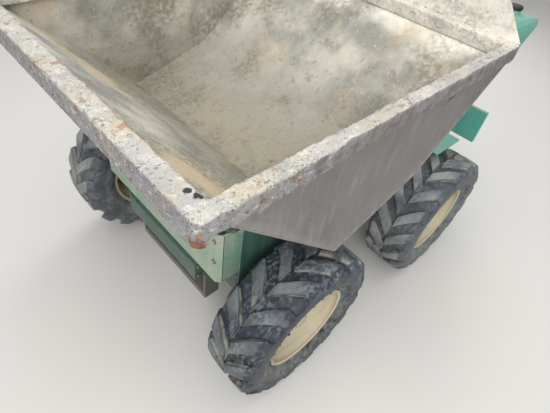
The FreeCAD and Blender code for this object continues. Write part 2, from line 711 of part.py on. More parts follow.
def knuckle(side, node):
    """The steered stub axle on its kingpin, drawn on the left and turned over for the right."""
    core = box(node + "Core", ("0 - knuckle_w", "knuckle_w"),
               ("kingpin_y - knuckle_w", "kingpin_y + knuckle_w"), ("0 - knuckle_half", "knuckle_half"))
    pin_reach = "knuckle_half + ear_gap + ear_t + pin_proud"
    kingpin = cylinder(node + "Kingpin", "kingpin_r", "z", f"0 - ({pin_reach})", pin_reach, y="kingpin_y")
    arm_back = "0 - arm_len - arm_w / 2"
    arm = plate(node + "Arm", "XY_Plane", [[
        ("0", "kingpin_y - knuckle_w"), ("0", "kingpin_y + knuckle_w"),
        (arm_back, "kingpin_y + arm_w / 2"), (arm_back, "kingpin_y - arm_w / 2")]], "arm_t", centred=False)
    place(arm, z="0 - knuckle_half")
    pin = cylinder(node + "ArmPin", "arm_pin_r", "z", "0 - knuckle_half", "rod_eye_t / 2 + pin_proud",
                   x="0 - arm_len", y="kingpin_y")
    whole = fuse(node + "Whole", [core, kingpin, arm, pin] + spindle_ends(node, "kingpin_y"))
    if side < 0:
        whole = mirrored(whole, node + "Mirror")
    finish(group(node + "Node", [whole]), node, "0 - wheelbase")


def steering():
    ram = cut("SteeringRamBored",
              cylinder("RamBody", "ram_r", "y", "0 - ram_half", "ram_half"),
              cylinder("RamBore", "ram_rod_r + run_fit", "y", "0 - ram_half - 1", "ram_half + 1"))
    finish(ram, "steering_ram", "0 - arm_x")
    bar_end = "kingpin_y - arm_pin_r - rod_slot_play - rod_eye_wall / 2"
    rod = cylinder("SteeringBar", "ram_rod_r", "y", f"0 - ({bar_end})", bar_end)
    slot_half = "arm_pin_r + rod_slot_play"
    slot_back, slot_front = "0 - arm_pin_r - pin_proud / 2", "slot_play + arm_pin_r"
    eye = box("SteeringEye", (f"{slot_back} - rod_eye_wall", f"{slot_front} + rod_eye_wall"),
              (f"kingpin_y - ({slot_half}) - rod_eye_wall", f"kingpin_y + {slot_half} + rod_eye_wall"),
              ("0 - rod_eye_t / 2", "rod_eye_t / 2"))
    slot = box("SteeringSlot", (slot_back, slot_front),
               (f"kingpin_y - ({slot_half})", f"kingpin_y + {slot_half}"), ("0 - rod_eye_t", "rod_eye_t"))
    end = cut("SteeringEnd", eye, slot)
    finish(fuse("SteeringRod", [rod, end, mirrored(end, "SteeringEndRight")]), "steering_rod", "0 - arm_x")


# Chassis

def rails():
    section = [
        ("rail_out", "rail_low"), ("rail_out", "rail_top"), ("rail_in", "rail_top"),
        ("rail_in", "rail_top - rail_t"), ("web_in", "rail_top - rail_t"),
        ("web_in", "rail_low + rail_t"), ("rail_in", "rail_low + rail_t"), ("rail_in", "rail_low"),
    ]
    left = plate("Rail", "YZ_Plane", [section], "rail_back + rail_front", centred=False)
    place(left, x="0 - rail_back")
    finish(pair("Rails", left), "chassis_rails")


CROSS_MEMBERS = [
    # name, rear face measured back from the front axle
    ("CrossRear", "rail_back"),
    ("CrossMid", "gear_front"),
    ("CrossFront", "cross_len - rail_front"),
]


def cross_members():
    pieces = []
    for name, back in CROSS_MEMBERS:
        pieces.append(box(name, (f"0 - ({back})", f"cross_len - ({back})"), ("0 - web_in", "web_in"),
                          ("rail_low + rail_t", "rail_top - rail_t")))
    for name, front in (("OutriggerRear", "0 - cheek_back + cheek_t"), ("OutriggerFront", "wing_x")):
        left = box(name, (f"{front} - cheek_t", front), ("rail_out", "cheek_in"), ("rail_low", "rail_top"))
        pieces += [left, mirrored(left, name + "Right")]
    finish(group("CrossMembers", pieces), "cross_members")


def cheeks():
    outline = [
        ("0 - cheek_back", "rail_low"), ("wing_x", "rail_low"), ("wing_x", "plate_top"),
        ("pivot_x + head_front", "plate_top"), ("pivot_x + head_front", "pivot_z + head_chin"),
        ("pivot_x + head_half", "pivot_z + head_h"), ("pivot_x - head_half", "pivot_z + head_h"),
        ("pivot_x - neck_back", "pivot_z"), ("pivot_x - waist_back", "pivot_z - waist_drop"),
        ("0 - shoulder_back", "rail_top + shoulder_h"), ("0 - cheek_back", "rail_top + heel_h"),
    ]
    left = plate("Cheek", "XZ_Plane", [outline], "cheek_t", [("pivot_x", "pivot_z", "pivot_r + seat_gap")])
    place(left, y="cheek_in + cheek_t / 2")
    finish(pair("Cheeks", left), "cheek_plates")
    pin = cylinder("PivotPin", "pivot_r", "y", "lug_y - lug_t / 2 - 2 * pin_proud", "cheek_out + pin_head_t",
                   x="pivot_x", z="pivot_z")
    head = cylinder("PivotHead", "pin_head_r", "y", "cheek_out", "cheek_out + pin_head_t",
                    x="pivot_x", z="pivot_z")
    finish(pair("PivotPins", fuse("PivotPinWhole", [pin, head])), "pivot_pins")


def front_plate():
    corner = "cheek_out - plate_bend"
    outer = [("plate_x", corner), ("plate_x - plate_bend", "cheek_out"), ("wing_x", "cheek_out")]
    inner = [("wing_x", "cheek_out - plate_t"), ("plate_x - plate_bend - plate_t / 2", "cheek_out - plate_t"),
             ("plate_x - plate_t", f"{corner} - plate_t / 2")]
    left = outer + inner
    right = [(x, f"0 - ({y})") for x, y in reversed(left)]
    body = plate("FrontPlate", "XY_Plane", [left + right], "plate_top - plate_low", centred=False)
    place(body, z="plate_low")
    finish(body, "front_plate", z="plate_low")


def floor_under(x):
    """Height of the skip floor's underside at a place behind the keel."""
    return f"keel_z + (0 - keel_x - ({x})) * floor_rise"


def skip_rest():
    back, front = "0 - heel_x + rest_inset", "0 - heel_x + rest_inset + rest_len"
    outline = [(back, "rail_top"), (front, "rail_top"), (front, floor_under(front) + " - seat_gap"),
               (back, floor_under(back) + " - seat_gap")]
    post = plate("RestPost", "XZ_Plane", [outline], "rail_w")
    place(post, y="rail_in + rail_w / 2")
    finish(pair("RestPosts", post), "skip_rest")


# Skip

def rim_under_at(x):
    """Height of the rim's underside at a place along X."""
    return f"rim_under + (lip_reach - ({x})) * rim_rise"


def rounded_corner(back, inward, half, side, start):
    """Points round one outer corner of the rim, from an angle on through a quarter turn."""
    points = []
    for angle in range(start, start + 91, 30):
        points.append((f"0 - ({back}) + {inward} * rim_round + rim_round * cos({angle} * 1deg)",
                       f"{side} * ({half} - rim_round) + rim_round * sin({angle} * 1deg)"))
    return points


def skip():
    ring = doc.addObject("PartDesign::Body", "Rim")
    rim = ring.newObject("PartDesign::Pad", "RimPad")
    outer = (rounded_corner("0", -1, "rim_half", -1, 270) + rounded_corner("0", -1, "rim_half", 1, 0)
             + rounded_corner("rim_len", 1, "rim_half", 1, 90)
             + rounded_corner("rim_len", 1, "rim_half", -1, 180))
    inner = [("0 - lip_w", "0 - (rim_half - rim_w)"), ("0 - lip_w", "rim_half - rim_w"),
             ("0 - rim_len + rim_w", "rim_half - rim_w"), ("0 - rim_len + rim_w", "0 - (rim_half - rim_w)")]
    rim.Profile = sketch(ring, "RimSketch", "XY_Plane", [outer, inner])
    rim.Reversed = True
    rim.setExpression("Length", tied("rim_h"))
    lip = ring.newObject("PartDesign::Pad", "LipPad")
    lip.Profile = sketch(ring, "LipSketch", "XY_Plane", [
        rounded_corner("0", -1, "rim_half", -1, 270) + rounded_corner("0", -1, "rim_half", 1, 0)
        + [("0 - lip_w", "rim_half"), ("0 - lip_w", "0 - rim_half")]])
    lip.Reversed = True
    lip.setExpression("Length", tied("lip_h"))
    ring.Tip = lip
    place(ring, "lip_reach", "0", "lip_z", Vector(0, 1, 0), "rim_slope")

    outline = [
        ("0 - keel_x", "keel_z"), ("front_x", "front_top_z"),
        ("front_x", rim_under_at("front_x") + " + shell_tuck"),
        ("0 - tail_x", rim_under_at("0 - tail_x") + " + shell_tuck"),
        ("0 - tail_x", rim_under_at("0 - tail_x")),
        ("0 - heel_x", "heel_z"),
    ]
    shell = plate("Shell", "XZ_Plane", [outline], "2 * skip_half")
    doc.recompute()
    solid = shell.Tip
    upward = [(face.CenterOfMass.z, number) for number, face in enumerate(solid.Shape.Faces, start=1)
              if face.normalAt(0, 0).z > 0.9]
    top = max(upward)[1]
    hollow = shell.newObject("PartDesign::Thickness", "ShellHollow")
    hollow.Base = (solid, [f"Face{top}"])
    hollow.setExpression("Value", tied("skip_wall"))
    hollow.Reversed = True
    shell.Tip = hollow
    trimmed = cut("ShellTrimmed", shell, ring)
    finish(trimmed, "skip_shell")
    node = group("RimNode", [ring])
    finish(node, "skip_rim")

    board = plate("GuardBoard", "YZ_Plane", [[
        ("0 - guard_foot", "guard_foot_z"), ("guard_foot", "guard_foot_z"), ("guard_head", "guard_top_z"),
        ("0 - guard_head", "guard_top_z")]], "guard_t", centred=False)
    place(board, x="0 - tail_reach")
    flange = box("GuardFlange", ("0 - tail_reach - guard_flange", "0 - tail_reach"),
                 ("0 - guard_head", "guard_head"), ("guard_top_z - guard_t", "guard_top_z"))
    pieces = [board, flange]
    for index, y in enumerate(("0 - guard_rib_y", "0", "guard_rib_y")):
        pieces.append(box(f"GuardRib{index}", ("0 - tail_reach - guard_flange", "0 - tail_reach"),
                          (f"{y} - guard_t / 2", f"{y} + guard_t / 2"), ("guard_foot_z", "guard_top_z")))
    finish(fuse("RearGuard", pieces), "skip_guard")


def slope_under(x):
    """Height of the slope plate's underside at a place ahead of the keel."""
    return f"keel_z + (({x}) + keel_x) * slope_rise"


def skip_lugs():
    back, front = "pivot_x - lug_back", "pivot_x + lug_front"
    web = plate("LugWeb", "XZ_Plane", [[
        (back, slope_under(back)), (front, slope_under(front)),
        ("pivot_x + web_r * cos(30 * 1deg)", "pivot_z - web_r * sin(30 * 1deg)"),
        ("pivot_x", "pivot_z - web_r"), ("pivot_x - web_r", "pivot_z")]], "lug_t")
    place(web, y="lug_y")
    at_pivot = {"x": "pivot_x", "z": "pivot_z"}
    boss = cylinder("LugBoss", "pivot_boss", "y", "lug_y - lug_t / 2", "lug_y + lug_t / 2", **at_pivot)
    bore = cylinder("LugBore", "pivot_r + run_fit", "y", "lug_y - lug_t", "lug_y + lug_t", **at_pivot)
    left = cut("Lug", fuse("LugWhole", [web, boss]), bore)

    ear_back, ear_front = "0 - keel_x - eye_ear_back", "0 - keel_x + eye_ear_front"
    ear = plate("RamEar", "XZ_Plane", [[
        (ear_back, floor_under(ear_back)), ("0 - keel_x", "keel_z"), (ear_front, slope_under(ear_front)),
        ("0 - eye_x + eye_ear_half", "eye_z"), ("0 - eye_x + eye_ear_chin", "eye_z - eye_ear_drop"),
        ("0 - eye_x - eye_ear_chin", "eye_z - eye_ear_drop"), ("0 - eye_x - eye_ear_half", "eye_z")]],
        "ram_ear_t")
    place(ear, y="ram_ear_y + ram_ear_t / 2")
    pin = cylinder("EyePin", "ram_pin_r", "y", "ram_half_w + pin_proud / 2",
                   "ram_ear_y + ram_ear_t + pin_proud", x="0 - eye_x", z="eye_z")
    ear_whole = fuse("RamEarWhole", [ear, pin])
    finish(group("SkipLugs", [left, mirrored(left, "LugRight"),
                              ear_whole, mirrored(ear_whole, "RamEarRight")]), "skip_lugs")


# Tipping ram, drawn upright from its foot pin and then leaned back

def ram_part(name, radius, low, high):
    return cylinder(name, radius, "z", low, high)


def lean(piece, node):
    """Lean a ram part about its foot pin and place it."""
    holder = group(node + "Node", [piece])
    place(holder, "foot_pin_x", "0", "foot_pin_z", Vector(0, 1, 0), "ram_turn")
    finish(holder, node, "foot_pin_x", "foot_pin_z")


def tipping_ram():
    tube = ram_part("BarrelTube", "barrel_r", "foot_r - weld_sunk", "barrel_len")
    foot = cylinder("BarrelFoot", "foot_r", "y", "0 - ram_half_w", "ram_half_w")
    hollow = ram_part("BarrelBore", "bore_r", "barrel_base", "barrel_len - gland_len")
    mouth = ram_part("BarrelMouth", "rod_r + run_fit", "barrel_base", "barrel_len + 1")
    pin_bore = cylinder("BarrelPinBore", "ram_pin_r + run_fit", "y", "0 - ram_half_w - 1", "ram_half_w + 1")
    barrel = cut("Barrel", fuse("BarrelWhole", [tube, foot]), fuse("BarrelHollow", [hollow, mouth, pin_bore]))
    lean(barrel, "cylinder_barrel")

    shaft = ram_part("RodShaft", "rod_r", "piston_low", "ram_len - eye_r + weld_sunk")
    piston = ram_part("RodPiston", "bore_r - run_fit", "piston_low", "piston_low + piston_len")
    eye = cylinder("RodEye", "eye_r", "y", "0 - ram_half_w", "ram_half_w", z="ram_len")
    eye_bore = cylinder("RodEyeBore", "ram_pin_r + run_fit", "y", "0 - ram_half_w - 1", "ram_half_w + 1",
                        z="ram_len")
    lean(cut("Rod", fuse("RodWhole", [shaft, piston, eye]), eye_bore), "cylinder_rod")


def cylinder_mount():
    low = "foot_pin_z - foot_r - mount_drop - mount_t"
    high = f"{low} + mount_t"
    span = ("foot_pin_x - mount_half", "foot_pin_x + mount_half")
    beam = box("MountBeam", span, ("0 - rail_out", "rail_out"), (low, high))
    hanger = box("MountHanger", span, ("rail_out - hanger_t", "rail_out"), (low, "rail_low"))
    ear = plate("MountEar", "XZ_Plane", [[
        (span[0], low), (span[1], low), ("foot_pin_x + foot_r / 2", "foot_pin_z + foot_r - pin_proud"),
        ("foot_pin_x - foot_r / 2", "foot_pin_z + foot_r - pin_proud")]], "ram_ear_t")
    place(ear, y="ram_ear_y + ram_ear_t / 2")
    pin_end = "ram_ear_y + ram_ear_t + pin_proud"
    pin = cylinder("MountPin", "ram_pin_r", "y", f"0 - ({pin_end})", pin_end, x="foot_pin_x", z="foot_pin_z")
    pieces = [beam, hanger, mirrored(hanger, "MountHangerRight"), ear, mirrored(ear, "MountEarRight"), pin]
    finish(fuse("CylinderMount", pieces), "cylinder_mount")


# Drive

def drive():
    block = box("EngineMain", ("0 - engine_back", "0 - engine_front"), ("0 - engine_half", "engine_half"),
                ("engine_low", "engine_top"))
    feet = []
    for index, x in enumerate(("engine_back - engine_foot_inset",
                               "engine_front + engine_foot_inset + engine_foot_len")):
        foot = box(f"EngineFoot{index}", (f"0 - ({x})", f"engine_foot_len - ({x})"),
                   ("engine_half", "bay_half - sheet - seat_gap"), ("rail_top", "rail_top + engine_foot_t"))
        feet += [foot, mirrored(foot, f"EngineFoot{index}Right")]
    finish(fuse("Engine", [block] + feet), "engine_block")

    case = box("GearCase", ("0 - gear_back", "0 - gear_front"),
               ("0 - drive_y - gear_w / 2", "0 - drive_y + gear_w / 2"), ("gear_low", "gear_top"))
    finish(group("Gearbox", [case]), "gearbox")
    shafts = [
        ("PropFront", "0 - gear_front", "0 - nose_reach", "0"),
        ("PropRear", "nose_reach - wheelbase", "0 - gear_back", "0"),
        ("PropEngine", "0 - engine_front", "0 - gear_back", "input_z"),
    ]
    finish(group("PropShafts", [cylinder(name, "prop_r", "x", low, high, y="0 - drive_y", z=z)
                                for name, low, high, z in shafts]), "propshafts")

    pipe = cylinder("Pipe", "pipe_r", "z", "bumper_top", "pipe_top", x="0 - pipe_x", y="0 - pipe_y")
    bracket = box("PipeBracket", ("0 - rail_back", "0 - pipe_x"),
                  ("0 - pipe_y - pipe_grip_half", "0 - pipe_y + pipe_grip_half"),
                  ("bumper_top - pipe_grip_drop", "bumper_top + pipe_grip_rise"))
    finish(fuse("Exhaust", [pipe, bracket]), "exhaust")


# Body and controls

def hinge_half(name, near, low, high):
    """One knuckle of the cover's left hinge and its leaf."""
    far = f"{near} + hinge_len"
    return [
        cylinder(name + "Knuckle", "hinge_r", "y", near, far, x="0 - hinge_x", z="cover_low"),
        box(name + "Leaf", ("0 - hinge_x", "0 - bay_back"), (near, far), (low, high)),
    ]


def tank_shelf():
    """The shelf beside the bay that carries the left tank, with a gusset near each end."""
    parts = [box("TankShelf", ("0 - tank_back", "0 - tank_front"), ("bay_half - sheet", "tank_foot"),
                 ("guard_z", "guard_z + sheet"))]
    for name, back in (("GussetRear", "tank_back"), ("GussetFront", "tank_front + sheet")):
        gusset = plate(name, "YZ_Plane", [[
            ("bay_half - sheet", "guard_z - bracket_h"), ("tank_foot", "guard_z"),
            ("bay_half - sheet", "guard_z")]], "sheet", centred=False)
        place(gusset, x=f"0 - ({back})")
        parts.append(group(name + "Placed", [gusset]))
    return parts


def tank_body():
    """The left tank. Its outer face leans out to a rounded corner, and its top falls to the rear."""
    corner_y, corner_z = "tank_out - tank_round", "tank_top - tank_round"
    section = [("tank_in", "tank_low"), ("tank_foot", "tank_low")]
    for angle in (0, 30, 60, 90):
        section.append((f"{corner_y} + tank_round * cos({angle} * 1deg)",
                        f"{corner_z} + tank_round * sin({angle} * 1deg)"))
    section.append(("tank_in", "tank_top"))
    tank = plate("TankBody", "YZ_Plane", [section], "tank_len", centred=False)
    place(tank, x="0 - tank_back")
    fall = plate("TankFall", "XZ_Plane", [[
        ("0 - tank_back - 1", "tank_top - tank_slope"), ("0 - tank_front - tank_round", "tank_top"),
        ("0 - tank_front - tank_round", "tank_top + tank_round"),
        ("0 - tank_back - 1", "tank_top + tank_round")]], "2 * tank_out + 2")
    neck = cylinder("TankNeck", "neck_r", "z", "tank_top - tank_slope", "tank_top + neck_h - tank_slope",
                    x="0 - tank_front - 2 * tank_len / 3", y="(tank_in + tank_out) / 2")
    return fuse("Tank", [cut("TankShaped", tank, fall), neck])


def bodywork():
    section = [
        ("foot_half", "foot_z"), ("foot_half", "foot_top"), ("0 - foot_half", "foot_top"),
        ("0 - foot_half", "foot_z"),
        ("0 - rail_out", "foot_z"), ("0 - rail_out", "rail_top"), ("0 - rail_out + sheet", "rail_top"),
        ("0 - rail_out + sheet", "foot_z"), ("rail_out - sheet", "foot_z"), ("rail_out - sheet", "rail_top"),
        ("rail_out", "rail_top"), ("rail_out", "foot_z"),
    ]
    tray = plate("Footplate", "YZ_Plane", [section], "foot_back - foot_front", centred=False)
    place(tray, x="0 - foot_back")

    fold = [("foot_half", "foot_z"), ("foot_half + sheet", "foot_z"), ("foot_half + sheet", "guard_z"),
            ("guard_out", "guard_z"), ("guard_out", "guard_z + sheet"), ("foot_half", "guard_z + sheet")]
    left = plate("Mudguard", "YZ_Plane", [fold], "guard_back - guard_front", centred=False)
    place(left, x="0 - guard_back")
    finish(fuse("FootplateWhole", [tray, left, mirrored(left, "MudguardRight")]), "footplate")

    walls = box("BayOuter", ("0 - bay_back", "0 - foot_back"), ("0 - bay_half", "bay_half"),
                ("rail_top", "bay_top"))
    inside = box("BayInner", ("sheet - bay_back", "0 - foot_back - sheet"),
                 ("sheet - bay_half", "bay_half - sheet"), ("rail_top - 1", "bay_top + 1"))
    mouth = box("BayMouth", ("0 - foot_back - sheet - 1", "0 - foot_back + 1"),
                ("0 - bay_half - 1", "bay_half + 1"), ("rail_top - 1", "foot_z"))
    bay = cut("BayWalls", walls, fuse("BayHollow", [inside, mouth]))
    hinge = fuse("BayHinge", hinge_half("Bay", "hinge_y", "cover_low - leaf_h", "cover_low - seat_gap"))
    pin = cylinder("HingePin", "hinge_pin_r", "y", "hinge_y", "hinge_y + 2 * hinge_len",
                   x="0 - hinge_x", z="cover_low")
    pieces = [bay]
    for part in [hinge, pin] + tank_shelf():
        pieces += [part, mirrored(part, part.Name + "Right")]
    finish(fuse("EngineBay", pieces), "engine_bay")

    left = tank_body()
    finish(group("FuelTank", [left]), "fuel_tank")
    finish(mirrored(left, "HydraulicTank"), "hydraulic_tank")

    front = "0 - cowl_front"
    back = "0 - cowl_front - cowl_len"
    cowl = plate("Cowl", "XZ_Plane", [[
        (front, "foot_top"), (front, "cowl_top - cowl_edge"), (f"{front} - cowl_edge", "cowl_top"),
        (f"{back} + cowl_slant", "cowl_top"), (back, "cowl_top - cowl_fall"), (back, "foot_top")]],
        "2 * cowl_half")
    finish(cowl, "cowl")


def cover_and_seat():
    outer = box("CoverOuter", ("0 - bay_back", "0 - foot_back"), ("0 - bay_half", "bay_half"),
                ("cover_low", "cover_top"))
    inner = box("CoverInner", ("sheet - bay_back", "0 - foot_back - sheet"),
                ("sheet - bay_half", "bay_half - sheet"), ("cover_low - 1", "cover_top - sheet"))
    near = "hinge_y + hinge_len + 2 * seat_gap"
    hinge = fuse("CoverHinge", hinge_half("Cover", near, "cover_low + seat_gap", "cover_low + leaf_h"))
    bored = cut("CoverHingeBored", hinge, cylinder("HingeBore", "hinge_pin_r + run_fit", "y", "hinge_y",
                                                   "hinge_y + 3 * hinge_len", x="0 - hinge_x", z="cover_low"))
    finish(fuse("EngineCover", [cut("CoverPan", outer, inner), bored, mirrored(bored, "CoverHingeRight")]),
           "engine_cover")
    cushion = box("Cushion", ("0 - cushion_front - cushion_len", "0 - cushion_front"),
                  ("0 - cushion_half", "cushion_half"),
                  ("cover_top + seat_gap", "cover_top + cushion_h"))
    finish(group("SeatCushion", [cushion]), "seat_cushion")
    foot = "0 - cushion_front - cushion_len - seat_gap"
    rest = plate("Backrest", "XZ_Plane", [[
        (foot, "cover_top + seat_gap"), (f"{foot} - backrest_lean", "cover_top + backrest_h"),
        (f"{foot} - backrest_lean - backrest_t", "cover_top + backrest_h"),
        (f"{foot} - backrest_t", "cover_top + seat_gap")]], "2 * cushion_half")
    finish(rest, "seat_back")


def steering_wheel():
    tube = cylinder("ColumnTube", "column_r", "z", "0", "column_len")
    shaft_end = "column_len + 2 * wheel_rise - spoke_t - seat_gap"
    shaft = cylinder("ColumnShaft", "column_r / 2", "z", "0", shaft_end)
    holder = group("SteeringColumn", [fuse("Column", [tube, shaft])])
    place(holder, "0 - column_x", "0", "column_z", Vector(0, 1, 0), "column_turn")
    finish(holder, "steering_column", "0 - column_x", "column_z")

    grip = size("grip_r")
    ring = flat_sided("Grip", [
        (size("wheel_r") + grip * math.cos(math.pi * step / 3), grip * math.sin(math.pi * step / 3))
        for step in range(6)], 32)
    place(ring, z="column_len + wheel_rise", about=Vector(1, 0, 0), turn="90")
    hub = cut("WheelHub", cylinder("WheelBoss", "column_r + hub_wall", "z", "column_len + seat_gap",
                                   "column_len + 2 * wheel_rise"),
              cylinder("WheelBore", "column_r / 2 + run_fit", "z", "column_len",
                       "column_len + 2 * wheel_rise - spoke_t"))
    spokes = []
    for index in range(3):
        spoke = box(f"Spoke{index}", ("column_r", "wheel_r"), ("0 - spoke_t", "spoke_t"),
                    ("column_len + wheel_rise - spoke_t / 2", "column_len + wheel_rise + spoke_t / 2"))
        arm = group(f"SpokeTurned{index}", [spoke])
        arm.Placement.Rotation = FreeCAD.Rotation(Vector(0, 0, 1), 120 * index)
        spokes.append(arm)
    wheel_group = fuse("SteeringWheelWhole", [ring, hub] + spokes)
    node = group("SteeringWheel", [wheel_group])
    place(node, "0 - column_x", "0", "column_z", Vector(0, 1, 0), "column_turn")
    finish(node, "steering_wheel", "0 - column_x", "column_z")


LEVERS = [
    # place along Y
    "0 - lever_y",
    "0 - lever_y - lever_gap",
]

PEDALS = [
    # near side along Y
    "0 - pedal_y - pedal_w",
    "pedal_y",
]


def small_controls():
    levers = []
    lever_x = "0 - cowl_front - cowl_edge - 2 * knob_r"
    for index, y in enumerate(LEVERS):
        knob_low = "cowl_top + lever_h"
        stem = cylinder(f"LeverStem{index}", "lever_r", "z", "cowl_top", knob_low, x=lever_x, y=y)
        knob = cylinder(f"LeverKnob{index}", "knob_r", "z", knob_low, f"{knob_low} + 2 * knob_r",
                        x=lever_x, y=y)
        levers.append(fuse(f"Lever{index}", [stem, knob]))
    finish(group("ControlLevers", levers), "control_levers")

    pedals = []
    for index, y in enumerate(PEDALS):
        side = plate(f"Pedal{index}", "XZ_Plane", [[
            ("0 - pedal_x", "foot_top"), ("0 - pedal_x", "foot_top + pedal_h"),
            ("0 - pedal_x - pedal_len", "foot_top + pedal_h - pedal_len / 2"),
            ("0 - pedal_x - pedal_len", "foot_top + pedal_h - pedal_len / 2 - pedal_t"),
            ("0 - pedal_x - pedal_t", "foot_top + pedal_h - pedal_t - pedal_t / 2"),
            ("0 - pedal_x - pedal_t", "foot_top")]], "pedal_w")
        place(side, y=f"{y} + pedal_w / 2")
        pedals.append(side)
    finish(group("Pedals", pedals), "pedals")


def rear_end():
    back = box("Bumper", ("0 - bumper_x", "0 - rail_back"), ("0 - bumper_half", "bumper_half"),
               ("bumper_low", "bumper_top"))
    jaws = []
    for index, side in enumerate((-1, 1)):
        middle = f"jaw_z + {side} * (jaw_gap + jaw_t) / 2"
        jaws.append(box(f"Jaw{index}", ("0 - rear_reach", "0 - bumper_x"), ("0 - jaw_half", "jaw_half"),
                        (f"{middle} - jaw_t / 2", f"{middle} + jaw_t / 2")))
    bore = cylinder("JawBore", "jaw_bore", "z", "bumper_low", "bumper_top",
                    x="0 - bumper_x - jaw_bore - jaw_inset")
    finish(fuse("RearPlate", [back, cut("JawsBored", fuse("Jaws", jaws), bore)]), "rear_bumper")
    lamp = cylinder("Lamp", "lamp_r", "x", "0 - bumper_x - lamp_t", "0 - bumper_x",
                    y="lamp_y", z="bumper_top - lamp_drop")
    finish(pair("RearLamps", lamp), "rear_lamps")


for ending, side, axle_x in CORNERS:
    tyre(ending, side, axle_x)
    wheel(ending, side, axle_x)
front_axle()
rear_axle()
knuckle(1, "knuckle_left")
knuckle(-1, "knuckle_right")
steering()
rails()
cross_members()
cheeks()
front_plate()
skip_rest()
skip()
skip_lugs()
tipping_ram()
cylinder_mount()
drive()
bodywork()
cover_and_seat()
steering_wheel()
small_controls()
rear_end()

doc.recompute()
for piece in doc.Objects:
    bad = [state for state in piece.State if state in ("Invalid", "Error")]
    if bad:
        raise RuntimeError(f"{piece.Name} is {bad}")
for piece in finished:
    if piece.Shape.isNull() or not piece.Shape.isValid():
        raise RuntimeError(f"{piece.Label} has no valid shape")
os.makedirs("parts", exist_ok=True)
for piece in finished:
    piece.Shape.exportStep(f"parts/{piece.Label}.step")
    print(piece.Label, len(piece.Shape.Solids), round(piece.Shape.Volume / 1e6, 3))
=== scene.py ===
"""Looks of a site dumper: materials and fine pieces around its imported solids."""

import math

import bmesh
import bpy
from bpy.props import FloatProperty, FloatVectorProperty, IntProperty, PointerProperty
from mathutils import Matrix, Vector, noise


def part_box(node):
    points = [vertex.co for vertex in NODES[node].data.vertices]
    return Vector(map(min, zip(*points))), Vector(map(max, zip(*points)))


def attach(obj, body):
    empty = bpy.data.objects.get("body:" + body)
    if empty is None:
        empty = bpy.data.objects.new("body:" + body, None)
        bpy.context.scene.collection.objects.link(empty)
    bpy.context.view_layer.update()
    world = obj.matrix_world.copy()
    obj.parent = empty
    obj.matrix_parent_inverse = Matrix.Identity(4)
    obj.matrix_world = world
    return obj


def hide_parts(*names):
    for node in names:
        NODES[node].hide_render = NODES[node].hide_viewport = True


bl_info = {
    "name": "Site Dumper",
    "version": (1, 0, 0),
    "blender": (4, 5, 0),
    "location": "View3D > Sidebar > Dumper",
    "description": "Dresses a packed site dumper with its finishes and fine pieces",
    "category": "Object",
}

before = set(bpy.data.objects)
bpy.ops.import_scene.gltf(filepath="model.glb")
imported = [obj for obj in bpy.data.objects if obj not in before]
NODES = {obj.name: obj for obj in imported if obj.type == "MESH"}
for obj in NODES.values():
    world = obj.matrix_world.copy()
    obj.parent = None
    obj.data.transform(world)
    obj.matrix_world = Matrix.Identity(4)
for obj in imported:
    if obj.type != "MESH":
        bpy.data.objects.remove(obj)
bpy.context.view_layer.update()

# The front axle's place along X, from the middle of the overall length.
FRONT = 0.782
AXLE_Z = 0.380
WHEELBASE = 1.106
HALF_TRACK = 0.637


SKIP_HALF = 0.708
WALL = 0.006
RIM_HALF = 0.720
RIM_WIDE = 0.051
RIM_ROUND = 0.026
LIP = 0.548
LIP_WIDE = 0.063
TAIL = -0.984
TILT = math.radians(2.42)
RIM_SLOPE = math.tan(TILT)
# The rim's top above the front axle's X of zero, seen along the row's own X.
RIM_LEVEL = 1.358 + (LIP + FRONT) * RIM_SLOPE
# The skip's folded edges in the front axle's frame.
LOWER_EDGES = (((-0.066, 0.823), (0.485, 1.321)), ((-0.500, 0.977), (-0.066, 0.823)),
               ((-0.955, 1.3665), (-0.500, 0.977)))


def rim_top(x):
    """Height of the rim's top at a place ahead of the front axle."""
    return 1.358 + (LIP - x) * RIM_SLOPE


def linear(code):
    """An sRGB hex colour as linear red, green and blue."""
    made = []
    for start in (1, 3, 5):
        value = int(code[start:start + 2], 16) / 255
        made.append(value / 12.92 if value <= 0.04045 else ((value + 0.055) / 1.055) ** 2.4)
    return tuple(made)


def rgba(colour):
    return (*colour, 1.0)


# Properties

def colour_property(name, description, code):
    return FloatVectorProperty(name=name, description=description, subtype="COLOR", size=3,
                               min=0, max=1, default=linear(code))


def length_property(name, description, default):
    return FloatProperty(name=name, description=description, default=default, min=0, unit="LENGTH")


class DumperColours(bpy.types.PropertyGroup):
    """The colours of the dumper's finishes."""

    teal: colour_property("Teal", "Enamel of the driver's station", "#3fb8a6")
    mint: colour_property("Mint", "Dusty enamel of the front plate", "#8fb5a1")
    green: colour_property("Green", "Enamel of the frame and axles", "#2c6a5c")
    skip_paint: colour_property("Skip paint", "Enamel of the skip's outside", "#7a7676")
    cement: colour_property("Cement", "Dried cement inside the skip", "#c3beb0")
    crust: colour_property("Crust", "Concrete dried on the rim", "#c4c0b7")
    rubber: colour_property("Rubber", "The tyres", "#262d36")
    dust: colour_property("Dust", "Dried site dust", "#aba598")
    cream: colour_property("Cream", "Enamel of the wheels", "#cdbf9d")
    vinyl: colour_property("Vinyl", "The seat", "#23262a")
    floor: colour_property("Floor", "The studio floor", "#dedbd6")


class DumperSizes(bpy.types.PropertyGroup):
    """The sizes of the dumper's fine pieces."""

    lugs: IntProperty(name="Lugs", description="Lugs on each half of a tyre", default=16, min=8, max=40)
    lug_height: length_property("Lug height", "Height of a tyre's lugs", 0.030)
    crust_depth: length_property("Crust depth", "How lumpy the concrete on the rim is", 0.005)
    dent_depth: length_property("Dent depth", "Depth of the dents in the skip", 0.003)
    edge_round: length_property("Edge round", "Rounding of pressed and cut edges", 0.0022)


# Materials

